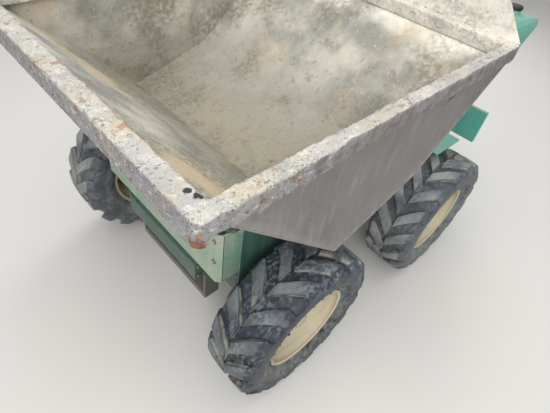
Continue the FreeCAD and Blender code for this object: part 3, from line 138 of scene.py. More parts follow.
class Finish:
    """A material and the node tree that it is made of."""

    def __init__(self, name):
        self.material = bpy.data.materials.new(name)
        self.material.use_nodes = True
        self.tree = self.material.node_tree
        self.surface = self.tree.nodes["Principled BSDF"]
        self.place = self.add("ShaderNodeTexCoord").outputs["Object"]

    def add(self, kind, inputs=None, **settings):
        """Add a node with its settings, and set or link its inputs."""
        made = self.tree.nodes.new(kind)
        for name, value in settings.items():
            setattr(made, name, value)
        for name, value in (inputs or {}).items():
            if isinstance(value, bpy.types.NodeSocket):
                self.tree.links.new(value, made.inputs[name])
            else:
                made.inputs[name].default_value = value
        return made

    def patches(self, per_metre, low, high, detail=4.0, stretch=(1, 1, 1)):
        """A mask of soft patches, from 0 below low to 1 above high."""
        place = self.place
        if stretch != (1, 1, 1):
            place = self.add("ShaderNodeMapping", {"Vector": place, "Scale": stretch}).outputs[0]
        cloud = self.add("ShaderNodeTexNoise", {"Vector": place, "Scale": per_metre, "Detail": detail})
        span = self.add("ShaderNodeMapRange", {"Value": cloud.outputs[0], "From Min": low, "From Max": high})
        return span.outputs[0]

    def mix(self, share, under, over):
        """One colour over another, by a mask."""
        made = self.add("ShaderNodeMix", {"Factor": share, "A": under, "B": over}, data_type="RGBA")
        return made.outputs["Result"]

    def colour_mix(self, share, under, over):
        made = self.add("ShaderNodeMix", data_type="RGBA")
        for index, value in ((0, share), (6, under), (7, over)):
            if isinstance(value, bpy.types.NodeSocket):
                self.tree.links.new(value, made.inputs[index])
            elif index:
                made.inputs[index].default_value = rgba(value)
            else:
                made.inputs[index].default_value = value
        return made.outputs[2]

    def blot(self, centre, radius, per_metre=60):
        """A ragged mask round one place."""
        away = self.add("ShaderNodeVectorMath", {0: self.place, 1: centre}, operation="DISTANCE").outputs["Value"]
        cloud = self.add("ShaderNodeTexNoise", {"Vector": self.place, "Scale": per_metre, "Detail": 5.0})
        wave = self.add("ShaderNodeMath", {0: cloud.outputs[0], 1: radius * 1.6}, operation="MULTIPLY").outputs[0]
        reach = self.add("ShaderNodeMath", {0: away, 1: wave}, operation="ADD").outputs[0]
        span = self.add("ShaderNodeMapRange", {"Value": reach, "From Min": radius * 1.7, "From Max": radius * 1.4})
        return span.outputs[0]

    def above(self, across, upward, start):
        """How far a place lies beyond a plane, by the plane's unit slope in X and Z."""
        made = self.add("ShaderNodeVectorMath", {0: self.place, 1: (across, 0, upward)}, operation="DOT_PRODUCT")
        return self.add("ShaderNodeMath", {0: made.outputs["Value"], 1: start}, operation="SUBTRACT").outputs[0]

    def outward(self):
        """A mask of what faces away from the skip's middle, seen from above."""
        away = self.add("ShaderNodeVectorMath", {0: self.place, 1: (FRONT - 0.218, 0, 0)}, operation="SUBTRACT")
        flat = self.add("ShaderNodeVectorMath", {0: away.outputs[0], 1: (1, 1, 0)}, operation="MULTIPLY")
        normal = self.add("ShaderNodeTexCoord").outputs["Normal"]
        facing = self.add("ShaderNodeVectorMath", {0: flat.outputs[0], 1: normal}, operation="DOT_PRODUCT")
        return self.add("ShaderNodeMapRange", {"Value": facing.outputs["Value"], "From Max": 0.1}).outputs[0]

    def rearward(self, start):
        """A ragged mask of what lies behind a place ahead of the front axle."""
        cloud = self.add("ShaderNodeTexNoise", {"Vector": self.place, "Scale": 13.0, "Detail": 7.0}).outputs[0]
        wave = self.add("ShaderNodeMath", {0: cloud, 1: 0.30}, operation="MULTIPLY").outputs[0]
        total = self.add("ShaderNodeMath", {0: self.height("X", "Object"), 1: wave}, operation="ADD").outputs[0]
        middle = FRONT + start + 0.15
        return self.add("ShaderNodeMapRange", {"Value": total, "From Min": middle + 0.04,
                                               "From Max": middle - 0.04}).outputs[0]

    def sums(self, operation, first, second=0.0):
        made = self.add("ShaderNodeMath", {0: first, 1: second}, operation=operation, use_clamp=True)
        return made.outputs[0]

    def height(self, name, direction="Normal"):
        """How far the surface faces one way, from the object's own normal, or how high it lies."""
        source = self.add("ShaderNodeTexCoord").outputs[direction]
        parts = self.add("ShaderNodeSeparateXYZ", {0: source})
        return parts.outputs[name]

    def finish(self, colour, roughness, bumps=(), metallic=0.0):
        """Link the colour, roughness and bumps of (height, depth in metres)."""
        link = self.tree.links.new
        link(colour, self.surface.inputs["Base Color"])
        if isinstance(roughness, bpy.types.NodeSocket):
            link(roughness, self.surface.inputs["Roughness"])
        else:
            self.surface.inputs["Roughness"].default_value = roughness
        self.surface.inputs["Metallic"].default_value = metallic
        normal = None
        for height, depth in bumps:
            bump = self.add("ShaderNodeBump", {"Height": height, "Distance": depth, "Strength": 1.0})
            if normal is not None:
                link(normal, bump.inputs["Normal"])
            normal = bump.outputs[0]
        if normal is not None:
            link(normal, self.surface.inputs["Normal"])
        return self.material


def painted_steel(name, paint, dust, dust_share=0.45, chips=0.62, rust=linear("#6d3a22"), beside=None,
                  mud_and_shade_top=0.0, gloss=0.42):
    """Sprayed enamel on plate: satin, dulled by dust that lies on what faces up, chipped to rust."""
    made = Finish(name)
    faded = tuple(0.72 * value + 0.28 * other for value, other in zip(paint, dust))
    deep = tuple(value * 0.72 for value in paint)
    colour = made.colour_mix(made.patches(2.5, 0.35, 0.65), deep, paint)
    # Faces that look along Y take the side colour: on the front plate a darker teal, partly less dust and partly
    # painted shade on its side wings.
    if beside:
        facing = made.add("ShaderNodeMath", {0: made.height("Y")}, operation="ABSOLUTE").outputs[0]
        colour = made.colour_mix(made.sums("MULTIPLY", facing, 0.85), colour, beside)
    # Runs of fading about 30 mm wide and 200 mm tall.
    colour = made.colour_mix(made.patches(30, 0.5, 0.75, stretch=(1, 1, 0.15)), colour, faded)
    # Chips 3 to 8 mm across.
    chipped = made.patches(130, chips, chips + 0.03, detail=6)
    colour = made.colour_mix(chipped, colour, rust)
    up = made.add("ShaderNodeMapRange", {"Value": made.height("Z"), "From Min": -0.3, "From Max": 1.0,
                                         "To Max": 1.0}).outputs[0]
    cloud = made.patches(9, 0.3, 0.7, detail=8)
    dusty = made.sums("MULTIPLY", made.sums("ADD", made.sums("MULTIPLY", up, 0.6), made.sums("MULTIPLY", cloud, 0.55)),
                      dust_share * 1.5)
    colour = made.colour_mix(dusty, colour, dust)
    # Grey-brown on the low parts, below about half a metre: partly mud, partly painted shade low down.
    if mud_and_shade_top:
        level = made.add("ShaderNodeMath", {0: made.height("Z", "Object"), 1: made.sums("MULTIPLY", cloud, 0.12)},
                         operation="ADD").outputs[0]
        mud_and_shade = made.add("ShaderNodeMapRange", {"Value": level, "From Min": mud_and_shade_top + 0.12, "From Max": mud_and_shade_top - 0.10,
                                              "To Max": 0.85}).outputs[0]
        colour = made.colour_mix(mud_and_shade, colour, linear("#6f695e"))
    rough = made.add("ShaderNodeMapRange", {"Value": dusty, "To Min": gloss, "To Max": 0.88}).outputs[0]
    grain = made.patches(260, 0.2, 0.8, detail=3)
    return made.finish(colour, rough, [(chipped, -0.0006), (grain, 0.0003)])


def skip_outside(colours):
    """Mauve-grey enamel under a film of dried slurry, dusty along its lower edge and crusted under the rim."""
    made = Finish("slurry_filmed_enamel")
    paint = tuple(colours.skip_paint)
    deep = tuple(value * 0.80 for value in paint)
    colour = made.colour_mix(made.patches(3, 0.35, 0.65), deep, paint)
    # Slurry runs 15 to 40 mm wide that fall down the plate.
    runs = made.patches(52, 0.5, 0.72, detail=6, stretch=(1, 1, 0.14))
    colour = made.colour_mix(made.sums("MULTIPLY", runs, 0.42), colour, linear("#a8a39f"))
    # Scratches a millimetre or two wide, lengthwise.
    scratch = made.patches(420, 0.68, 0.72, detail=2, stretch=(0.05, 1, 1))
    colour = made.colour_mix(made.sums("MULTIPLY", scratch, 0.35), colour, linear("#b9b5b2"))
    rust = made.patches(28, 0.69, 0.74, detail=8)
    colour = made.colour_mix(made.sums("MULTIPLY", rust, 0.7), colour, linear("#6f5a4b"))
    # Dust lies within 50 mm of the plate's folded lower edges.
    cloud = made.sums("MULTIPLY", made.patches(22, 0.2, 0.8, detail=6), 0.05)
    for (x0, z0), (x1, z1) in LOWER_EDGES:
        size = math.hypot(x1 - x0, z1 - z0)
        across, upward = (z0 - z1) / size, (x1 - x0) / size
        away = made.above(across, upward, across * (FRONT + x0) + upward * z0)
        ragged = made.add("ShaderNodeMath", {0: away, 1: cloud}, operation="ADD").outputs[0]
        dusty = made.add("ShaderNodeMapRange", {"Value": ragged, "From Min": 0.062, "From Max": 0.022,
                                                "To Max": 0.55}).outputs[0]
        colour = made.colour_mix(dusty, colour, linear("#9d988f"))
    # The rim's concrete runs over the plate's top 20 mm.
    rise = made.above(RIM_SLOPE, 1.0, RIM_LEVEL - 0.085)
    ragged = made.add("ShaderNodeMath", {0: rise, 1: cloud}, operation="ADD").outputs[0]
    crusted = made.add("ShaderNodeMapRange", {"Value": ragged, "From Min": 0.030, "From Max": 0.040}).outputs[0]
    ahead = made.sums("SUBTRACT", 1.0, made.rearward(0.14))
    crusted = made.sums("MULTIPLY", crusted, ahead)
    colour = made.colour_mix(crusted, colour, linear("#aaa69d"))
    chip = made.blot((FRONT - 0.522, 0.709, 1.333), 0.032, 45)
    colour = made.colour_mix(chip, colour, linear("#665a3d"))
    rough = made.add("ShaderNodeMapRange", {"Value": runs, "To Min": 0.55, "To Max": 0.88}).outputs[0]
    return made.finish(colour, rough, [(made.patches(14, 0.2, 0.8), 0.002), (scratch, -0.0003), (crusted, 0.001)])


def skip_inside(colours):
    """Bare plate under dried cement: chalky and pale high up, olive and ochre where slurry stood; the guard's face
    above the rim is partly a painted highlight.
    """
    made = Finish("cement_stained_highlit_plate")
    cement = tuple(colours.cement)
    warm = linear("#c3b194")
    grey = linear("#94928b")
    colour = made.colour_mix(made.patches(4.5, 0.42, 0.6, detail=6), cement, grey)
    colour = made.colour_mix(made.patches(3.2, 0.55, 0.68, detail=5), colour, warm)
    # Spatter 5 to 15 mm across.
    spatter = made.patches(70, 0.6, 0.66, detail=7)
    colour = made.colour_mix(made.sums("MULTIPLY", spatter, 0.5), colour, linear("#dcd8cd"))
    level = made.height("Z", "Object")
    wave = made.sums("MULTIPLY", made.patches(5, 0.3, 0.7), 0.12)
    height = made.add("ShaderNodeMath", {0: level, 1: wave}, operation="ADD").outputs[0]
    low = made.add("ShaderNodeMapRange", {"Value": height, "From Min": 1.24, "From Max": 1.02,
                                          "To Min": 0.0, "To Max": 0.85}).outputs[0]
    colour = made.colour_mix(low, colour, linear("#9c998f"))
    deep = made.add("ShaderNodeMapRange", {"Value": height, "From Min": 1.08, "From Max": 0.9,
                                           "To Min": 0.0, "To Max": 0.8}).outputs[0]
    colour = made.colour_mix(deep, colour, linear("#a09984"))
    stains = made.sums("MULTIPLY", made.patches(3.6, 0.48, 0.58, detail=12), made.patches(55, 0.32, 0.6, detail=8))
    colour = made.colour_mix(made.sums("MULTIPLY", stains, 0.75), colour, linear("#7f7a69"))
    rusty = made.patches(24, 0.61, 0.7, detail=12)
    colour = made.colour_mix(made.sums("MULTIPLY", rusty, 0.45), colour, linear("#84664a"))
    # Near-white above the rim, where only splashes reached the guard: partly chalky cement, partly a painted highlight
    # on the guard's face.
    high = made.add("ShaderNodeMapRange", {"Value": height, "From Min": 1.36, "From Max": 1.45}).outputs[0]
    chalk_and_highlight = made.add("ShaderNodeMapRange", {"Value": stains, "To Min": 0.92, "To Max": 0.5}).outputs[0]
    colour = made.colour_mix(made.sums("MULTIPLY", high, chalk_and_highlight), colour, linear("#f3eee2"))
    return made.finish(colour, 0.86, [(made.patches(24, 0.3, 0.8, detail=8), 0.003), (spatter, 0.0015),
                                      (stains, 0.0015)])


def concrete_crust(colours):
    """Concrete dried on steel: pale and chalky, peppered with dark grit, rusty where a lump broke off."""
    made = Finish("concrete_crust")
    crust = tuple(colours.crust)
    colour = made.colour_mix(made.patches(11, 0.38, 0.62, detail=6), crust, linear("#aeaca7"))
    warm = made.sums("MULTIPLY", made.patches(7, 0.5, 0.68, detail=5), 0.75)
    colour = made.colour_mix(warm, colour, linear("#c6b79b"))
    # Outward faces that look sideways turn grey, the more the steeper they stand.
    beside = made.add("ShaderNodeMapRange", {"Value": made.height("Z"), "From Min": 0.8, "From Max": 0.1,
                                             "To Max": 0.72}).outputs[0]
    outward = made.outward()
    beside = made.sums("MULTIPLY", beside, outward)
    colour = made.colour_mix(beside, colour, linear("#87868a"))
    # Dark grit of 2 to 4 mm, thicker on the sides, and pits of about 12 mm.
    thick = made.sums("ADD", made.sums("MULTIPLY", beside, 0.75), 0.42)
    grit = made.sums("MULTIPLY", made.patches(230, 0.55, 0.62, detail=6), made.patches(19, 0.38, 0.62, detail=5))
    colour = made.colour_mix(made.sums("MULTIPLY", grit, thick), colour, linear("#3f3d3c"))
    pits = made.patches(72, 0.64, 0.68, detail=6)
    colour = made.colour_mix(made.sums("MULTIPLY", pits, thick), colour, linear("#5f5b57"))
    light = made.patches(60, 0.56, 0.7, detail=6, stretch=(1.1, 0.9, 1))
    colour = made.colour_mix(made.sums("MULTIPLY", light, 0.6), colour, linear("#dedbd4"))
    bare = made.sums("MULTIPLY", made.patches(34, 0.6, 0.64, detail=8), made.patches(4.5, 0.46, 0.56, detail=3))
    colour = made.colour_mix(made.sums("MULTIPLY", bare, 0.6), colour, linear("#a5744f"))
    # The rear run is washed with the same chalky splashes as the guard over it, partly a painted highlight like the
    # guard's.
    splashed_and_highlit = made.sums("MULTIPLY", made.rearward(-0.86), made.patches(8, 0.25, 0.6, detail=8))
    colour = made.colour_mix(made.sums("MULTIPLY", splashed_and_highlit, 0.85), colour, linear("#e9e3d5"))
    # The front left corner is knocked bare, and two tarry lumps lie inside it.
    knocked = made.blot((FRONT + LIP - 0.006, RIM_HALF - 0.006, 1.287), 0.030, 70)
    colour = made.colour_mix(made.sums("MULTIPLY", knocked, 0.85), colour, linear("#7d5032"))
    # Behind the front third the sides' outer faces show their paint.
    facing = made.add("ShaderNodeMath", {0: made.height("Y")}, operation="ABSOLUTE").outputs[0]
    bare_side = made.sums("MULTIPLY", made.sums("MULTIPLY", outward, facing), made.rearward(0.14))
    painted = made.add("ShaderNodeMapRange", {"Value": bare_side, "From Min": 0.35, "From Max": 0.5}).outputs[0]
    paint = made.colour_mix(made.patches(30, 0.4, 0.7, detail=6), tuple(colours.skip_paint), linear("#96928f"))
    colour = made.colour_mix(painted, colour, paint)
    for x, y, radius in ((0.491, 0.650, 0.019), (0.502, 0.624, 0.012)):
        tar = made.blot((FRONT + x, y, rim_top(x) + 0.001), radius, 90)
        colour = made.colour_mix(tar, colour, linear("#33363d"))
    return made.finish(colour, 0.93, [(made.patches(46, 0.2, 0.85, detail=10), 0.006), (grit, -0.0012),
                                      (pits, -0.002), (bare, -0.002)])


def tyre_rubber(colours, name, film, haze_and_skylight):
    """Moulded rubber: dark and matt, bluish where rubbed clean, pale dust in the grooves and sidewalls; lug tops and a
    haze lightened partly by dust, partly by painted light.
    """
    made = Finish(name)
    rubber, dust = tuple(colours.rubber), tuple(colours.dust)
    parts = made.add("ShaderNodeSeparateXYZ", {0: made.place})
    square = [made.add("ShaderNodeMath", {0: parts.outputs[axis], 1: 2.0}, operation="POWER").outputs[0]
              for axis in ("X", "Z")]
    total = made.add("ShaderNodeMath", {0: square[0], 1: square[1]}, operation="ADD").outputs[0]
    radius = made.add("ShaderNodeMath", {0: total, 1: 0.5}, operation="POWER").outputs[0]
    worn = tuple(0.6 * value + 0.4 * other for value, other in zip(rubber, linear("#4d5661")))
    colour = made.colour_mix(made.patches(12, 0.4, 0.65, detail=6), rubber, worn)
    # Bluish grey smears 20 to 40 mm long, in patches.
    fine = made.patches(48, 0.47, 0.62, detail=10, stretch=(1, 1.5, 1))
    smears = made.sums("MULTIPLY", fine, made.patches(9, 0.36, 0.6, detail=4))
    colour = made.colour_mix(made.sums("MULTIPLY", smears, 0.72), colour, linear("#848b92"))
    # A dry grey film on the lugs' tops: partly dust, partly a painted highlight where the lugs face the sky; stronger
    # and paler on the three other tyres.
    tops = made.add("ShaderNodeMapRange", {"Value": radius, "From Min": 0.3700, "From Max": 0.3745,
                                           "To Max": film}).outputs[0]
    lug_top_dust_and_light = made.sums("MULTIPLY", tops, made.patches(7, 0.3, 0.62, detail=7))
    # A grey haze over the whole tyre, on the three other tyres only: partly dust, partly painted skylight.
    colour = made.colour_mix(made.sums("MULTIPLY", made.patches(5, 0.2, 0.6), haze_and_skylight), colour, linear("#85898a"))
    colour = made.colour_mix(lug_top_dust_and_light, colour, linear("#9a9e9d" if haze_and_skylight else "#8f9494"))
    # Pale dust on the grooves' walls, 8 to 28 mm below the lugs' tops, and dark floors.
    wall = made.add("ShaderNodeMapRange", {"Value": radius, "From Min": 0.3735, "From Max": 0.3640}).outputs[0]
    shade = made.add("ShaderNodeMapRange", {"Value": radius, "From Min": 0.3500, "From Max": 0.3560}).outputs[0]
    away = made.add("ShaderNodeMath", {0: parts.outputs["Y"]}, operation="ABSOLUTE").outputs[0]
    tread = made.add("ShaderNodeMapRange", {"Value": away, "From Min": 0.108, "From Max": 0.100}).outputs[0]
    settled = made.sums("MULTIPLY", made.sums("MULTIPLY", wall, shade), made.patches(24, 0.32, 0.58, detail=8))
    settled = made.sums("MULTIPLY", settled, tread)
    colour = made.colour_mix(made.sums("MULTIPLY", settled, 0.85), colour, dust)
    bead = made.add("ShaderNodeMapRange", {"Value": radius, "From Min": 0.30, "From Max": 0.25,
                                           "To Max": 0.35}).outputs[0]
    colour = made.colour_mix(made.sums("MULTIPLY", bead, made.patches(20, 0.35, 0.65, detail=8)), colour, dust)
    dusty = made.sums("ADD", smears, settled)
    rough = made.add("ShaderNodeMapRange", {"Value": dusty, "To Min": 0.5, "To Max": 0.95}).outputs[0]
    return made.finish(colour, rough, [(made.patches(190, 0.3, 0.7, detail=6), 0.0008), (dusty, 0.0008)])


def vinyl(colours):
    """Vinyl-coated seat cloth: a fine leather grain, creased, greyed by dust."""
    made = Finish("grained_vinyl")
    grain = made.add("ShaderNodeTexVoronoi", {"Vector": made.place, "Scale": 420.0}, feature="DISTANCE_TO_EDGE")
    colour = made.colour_mix(made.patches(14, 0.45, 0.75, detail=7), tuple(colours.vinyl), linear("#5e5a54"))
    edge = made.add("ShaderNodeMapRange", {"Value": grain.outputs[0], "From Max": 0.25}).outputs[0]
    return made.finish(colour, 0.62, [(edge, 0.0004), (made.patches(22, 0.3, 0.7), 0.0015)])


def bare_metal(name, code, roughness, metallic, scale, depth, grime="#4a3b2e"):
    """Cast, turned or plated metal: its own tone with oily grime in patches."""
    made = Finish(name)
    tone = linear(code)
    colour = made.colour_mix(made.patches(20, 0.5, 0.7, detail=7), tone, linear(grime))
    return made.finish(colour, roughness, [(made.patches(scale, 0.25, 0.75, detail=5), depth)], metallic)


def moulded_plastic(name, code, roughness, grain=900):
    """Injection moulding: an even tone, a spark-eroded grain and a little dust."""
    made = Finish(name)
    tone = linear(code)
    colour = made.colour_mix(made.patches(40, 0.55, 0.8, detail=6), tone, linear("#7c766c"))
    return made.finish(colour, roughness, [(made.patches(grain, 0.3, 0.7), 0.0001)])


def make_finishes(colours):
    """Every material of the dumper by name."""
    dust = tuple(colours.dust)
    return {
        "teal": painted_steel("teal_enamel", tuple(colours.teal), dust, 0.3, 0.66),
        # The front plate's sideways faces take a darker teal that is partly painted shade.
        "mint": painted_steel("mint_enamel", tuple(colours.mint), linear("#b9b7a2"), 0.6, 0.64,
                              beside=linear("#4f9482")),
        # The frame's low parts turn grey-brown: partly mud, partly painted shade.
        "green": painted_steel("frame_enamel", tuple(colours.green), linear("#6f7f74"), 0.3, 0.66, mud_and_shade_top=0.50),
        "cream": painted_steel("cream_enamel", tuple(colours.cream), dust, 0.35, 0.66, linear("#70472c"), gloss=0.28),
        "outside": skip_outside(colours),
        "inside": skip_inside(colours),
        "crust": concrete_crust(colours),
        "rubber": tyre_rubber(colours, "moulded_tyre_rubber", 0.5, 0.0),
        # A paler copy of the rubber for the three other tyres: partly dust, partly painted skylight.
        "dust_and_skylight_rubber": tyre_rubber(colours, "dusty_skylit_tyre_rubber", 0.95, 0.4),
        "vinyl": vinyl(colours),
        "steel": bare_metal("worn_steel", "#8b8783", 0.45, 0.85, 160, 0.0004),
        "chrome": bare_metal("chromed_steel", "#c9cbcf", 0.18, 1.0, 60, 0.00005, "#8f8a84"),
        "cast": bare_metal("cast_iron", "#5b5f5e", 0.62, 0.55, 240, 0.0008),
        "pipe": bare_metal("scorched_steel", "#6a4632", 0.8, 0.3, 110, 0.0008, "#2f2620"),
        "zinc": bare_metal("zinc_plated_steel", "#b0a98f", 0.4, 0.9, 90, 0.0002, "#7a7460"),
        "plastic": moulded_plastic("black_plastic", "#202224", 0.5),
        "hose": moulded_plastic("hose_rubber", "#1b1c1e", 0.7, 500),
        "red": moulded_plastic("red_acrylic", "#9c1414", 0.15, 60),
        "amber": moulded_plastic("amber_acrylic", "#d07a12", 0.15, 60),
    }


# Meshes

def piece(name, points, faces, material, body, slot=None, smooth=True, place=(0, 0, 0)):
    """A mesh that rides on a body. Smooth faces keep edges sharper than 35 degrees."""
    mesh = bpy.data.meshes.new(name)
    mesh.from_pydata([tuple(point) for point in points], [], faces)
    mesh.validate()
    tool = bmesh.new()
    tool.from_mesh(mesh)
    bmesh.ops.recalc_face_normals(tool, faces=tool.faces)
    tool.to_mesh(mesh)
    tool.free()
    return settle(mesh, name, material, body, smooth, place)


def settle(mesh, name, material, body, smooth=True, place=(0, 0, 0)):
    """Give a mesh its object, material and body."""
    made = bpy.data.objects.new(name, mesh)
    bpy.context.scene.collection.objects.link(made)
    made.location = place
    for each in material if isinstance(material, (list, tuple)) else [material]:
        if each.name not in mesh.materials:
            mesh.materials.append(each)
    for face in mesh.polygons:
        face.use_smooth = smooth
    if smooth:
        mesh.set_sharp_from_angle(angle=math.radians(35))
    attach(made, body)
    return made


def lathe(profile, steps):
    """Points and faces of a closed profile of (radius, place along Y) turned about Y."""
    points, faces = [], []
    count = len(profile)
    for step in range(steps):
        turn = 2 * math.pi * step / steps
        points += [(radius * math.sin(turn), y, radius * math.cos(turn)) for radius, y in profile]
    for step in range(steps):
        here, after = step * count, (step + 1) % steps * count
        for index in range(count):
            follow = (index + 1) % count
            faces.append((here + index, here + follow, after + follow, after + index))
    return points, faces


def swept(path, section, closed=False):
    """Points and faces of a section swept along stations of (origin, side, up)."""
    points, faces = [], []
    count = len(section)
    for origin, side, up in path:
        points += [Vector(origin) + Vector(side) * u + Vector(up) * v for u, v in section]
    last = len(path) if closed else len(path) - 1
    for step in range(last):
        here, after = step * count, (step + 1) % len(path) * count
        for index in range(count):
            follow = (index + 1) % count
            faces.append((here + index, here + follow, after + follow, after + index))
    if not closed:
        faces.append(tuple(range(count))[::-1])
        faces.append(tuple((len(path) - 1) * count + index for index in range(count)))
    return points, faces


class Bundle:
    """Points and faces of several forms, gathered into one piece."""

    def __init__(self):
        self.points, self.faces = [], []

    def add(self, form, matrix=None):
        points, faces = form
        start = len(self.points)
        self.points += [matrix @ Vector(point) if matrix else Vector(point) for point in points]
        self.faces += [tuple(start + index for index in face) for face in faces]
        return self

    def piece(self, name, material, body, slot=None, smooth=True, place=(0, 0, 0)):
        return piece(name, self.points, self.faces, material, body, slot, smooth, place)


def aim(place, axis):
    """A matrix that takes +Z to an axis and the origin to a place."""
    turn = Vector((0, 0, 1)).rotation_difference(Vector(axis)).to_matrix().to_4x4()
    return Matrix.Translation(place) @ turn


def disc_stack(levels, sides, phase=0.0):
    """A solid of rings along Z, from levels of (radius, height)."""
    points, faces = [], []
    for radius, height in levels:
        for step in range(sides):
            turn = 2 * math.pi * (step + phase) / sides
            points.append((radius * math.cos(turn), radius * math.sin(turn), height))
    for level in range(len(levels) - 1):
        for step in range(sides):
            after = (step + 1) % sides
            faces.append((level * sides + step, level * sides + after,
                          (level + 1) * sides + after, (level + 1) * sides + step))
    faces.append(tuple(range(sides))[::-1])
    faces.append(tuple((len(levels) - 1) * sides + step for step in range(sides)))
    return points, faces


def bolt(size):
    """A hexagon head with its washer, for a thread of that diameter."""
    form = Bundle()
    form.add(disc_stack([(size * 1.05, 0), (size * 1.05, size * 0.14)], 20))
    form.add(disc_stack([(size * 0.95, size * 0.14), (size * 0.95, size * 0.62), (size * 0.82, size * 0.72)], 6))
    return form.points, form.faces


def block(low, high, bevel=0.003, segments=2):
    """A box between two corners with its edges rounded."""
    tool = bmesh.new()
    bmesh.ops.create_cube(tool, size=1.0)
    low, high = Vector(low), Vector(high)
    for vert in tool.verts:
        vert.co = Vector(((low[axis] + high[axis]) / 2 + vert.co[axis] * (high[axis] - low[axis])) for axis in range(3))
    bmesh.ops.bevel(tool, geom=tool.edges[:], offset=bevel, segments=segments, affect="EDGES", profile=0.5)
    tool.verts.index_update()
    made = [vert.co.copy() for vert in tool.verts], [tuple(v.index for v in face.verts) for face in tool.faces]
    tool.free()
    return made


def tube(points, radius, sides=14, per_span=6):
    """A round bar or hose along a smooth line through points."""
    spots = [Vector(point) for point in points]
    line = []
    for index in range(len(spots) - 1):
        before = spots[max(index - 1, 0)]
        here, after = spots[index], spots[index + 1]
        beyond = spots[min(index + 2, len(spots) - 1)]
        for step in range(per_span):
            t = step / per_span
            line.append(0.5 * (2 * here + (after - before) * t
                               + (2 * before - 5 * here + 4 * after - beyond) * t ** 2
                               + (3 * here - before - 3 * after + beyond) * t ** 3))
    line.append(spots[-1])
    stations, side = [], None
    for index, spot in enumerate(line):
        onward = (line[min(index + 1, len(line) - 1)] - line[max(index - 1, 0)]).normalized()
        if side is None:
            side = onward.orthogonal().normalized()
        side = (side - onward * side.dot(onward)).normalized()
        stations.append((spot, side, onward.cross(side)))
    section = [(radius * math.cos(2 * math.pi * step / sides), radius * math.sin(2 * math.pi * step / sides))
               for step in range(sides)]
    return swept(stations, section)


def lumps(point, per_metre, depth):
    """A smooth lump height at a place."""
    return depth * noise.fractal(Vector(point) * per_metre, 0.8, 2.1, 4, noise_basis="PERLIN_ORIGINAL")


def dress(node, material, rounding=0.0):
    """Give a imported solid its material, and round its edges."""
    made = NODES[node]
    made.data.materials.clear()
    made.data.materials.append(material)
    if rounding:
        weld = made.modifiers.new("Weld", "WELD")
        weld.merge_threshold = 0.00002
        bevel = made.modifiers.new("Bevel", "BEVEL")
        bevel.width = rounding
        bevel.segments = 2
        bevel.limit_method = "ANGLE"
        bevel.angle_limit = math.radians(40)
        bevel.harden_normals = False
    return made


# Tyres and wheels

CORNERS = (
    ("front_left", 1, 0.0),
    ("front_right", -1, 0.0),
    ("rear_left", 1, -WHEELBASE),
    ("rear_right", -1, -WHEELBASE),
)

TYRE_RADIUS = 0.380
TYRE_HALF = 0.132
# Radius and place along Y of the carcass from the tread's middle to the bead.
CARCASS = (
    (0.3500, 0.000), (0.3499, 0.030), (0.3493, 0.060), (0.3475, 0.085), (0.3440, 0.106), (0.3375, 0.1215),
    (0.3270, 0.1290), (0.3140, 0.1314), (0.2990, 0.1319), (0.2860, 0.1316), (0.2845, 0.1302), (0.2815, 0.1302),
    (0.2800, 0.1316), (0.2660, 0.1306), (0.2540, 0.1262), (0.2430, 0.1190), (0.2370, 0.1160), (0.2320, 0.1110),
    (0.2250, 0.1055), (0.2180, 0.1010), (0.2140, 0.0975),
)


def carcass_radius(y):
    """The carcass' outer radius at a place along Y, over the tread and shoulder."""
    y = abs(y)
    for (radius, start), (beyond, end) in zip(CARCASS, CARCASS[1:]):
        if start <= y <= end:
            share = (y - start) / (end - start)
            return radius + (beyond - radius) * share
    return CARCASS[7][0]


def lug_form(side, turn, pitch, height, rng):
    """One lug of a tyre's half, swept from the tread's middle to below the shoulder."""
    stations = []
    count = 12
    for step in range(count):
        share = step / (count - 1)
        y = 0.006 + (TYRE_HALF - 0.0075) * min(share * 1.12, 1.0)
        # The lug bends at its middle, and lags three quarters of its pitch behind at the shoulder.
        lag = pitch * (0.5 * min(y / 0.062, 1.0) + 0.25 * min(max(y - 0.062, 0.0) / 0.044, 1.0))
        top = TYRE_RADIUS - 0.0015 - 0.0035 * (y / 0.106) ** 3
        if y > 0.106:
            top = TYRE_RADIUS - 0.005 - (y - 0.106) * 1.35
        floor = carcass_radius(y) - 0.003
        if step == count - 1:
            top, y = 0.3040, TYRE_HALF - 0.0002
            floor = 0.3025
        stations.append((y, lag, floor, top, share))
    points, faces = [], []
    section = ((-1.0, 0.0), (-0.93, 0.86), (-0.89, 0.96), (-0.81, 1.0), (0.81, 1.0), (0.89, 0.96), (0.93, 0.86),
               (1.0, 0.0))
    for y, lag, floor, top, share in stations:
        half = pitch * (0.245 + 0.03 * share)
        for across, up in section:
            angle = turn - lag + half * across
            radius = floor + (top - floor) * up
            radius -= abs(lumps((radius * math.sin(angle), y * side, radius * math.cos(angle)), 45, 0.0012)) * up
            points.append((radius * math.sin(angle), y * side, radius * math.cos(angle)))
    width = len(section)
    for step in range(count - 1):
        for index in range(width - 1):
            here = step * width + index
            faces.append((here, here + 1, here + width + 1, here + width))
    faces.append(tuple(range(width)))
    faces.append(tuple((count - 1) * width + index for index in range(width)))
    return points, faces


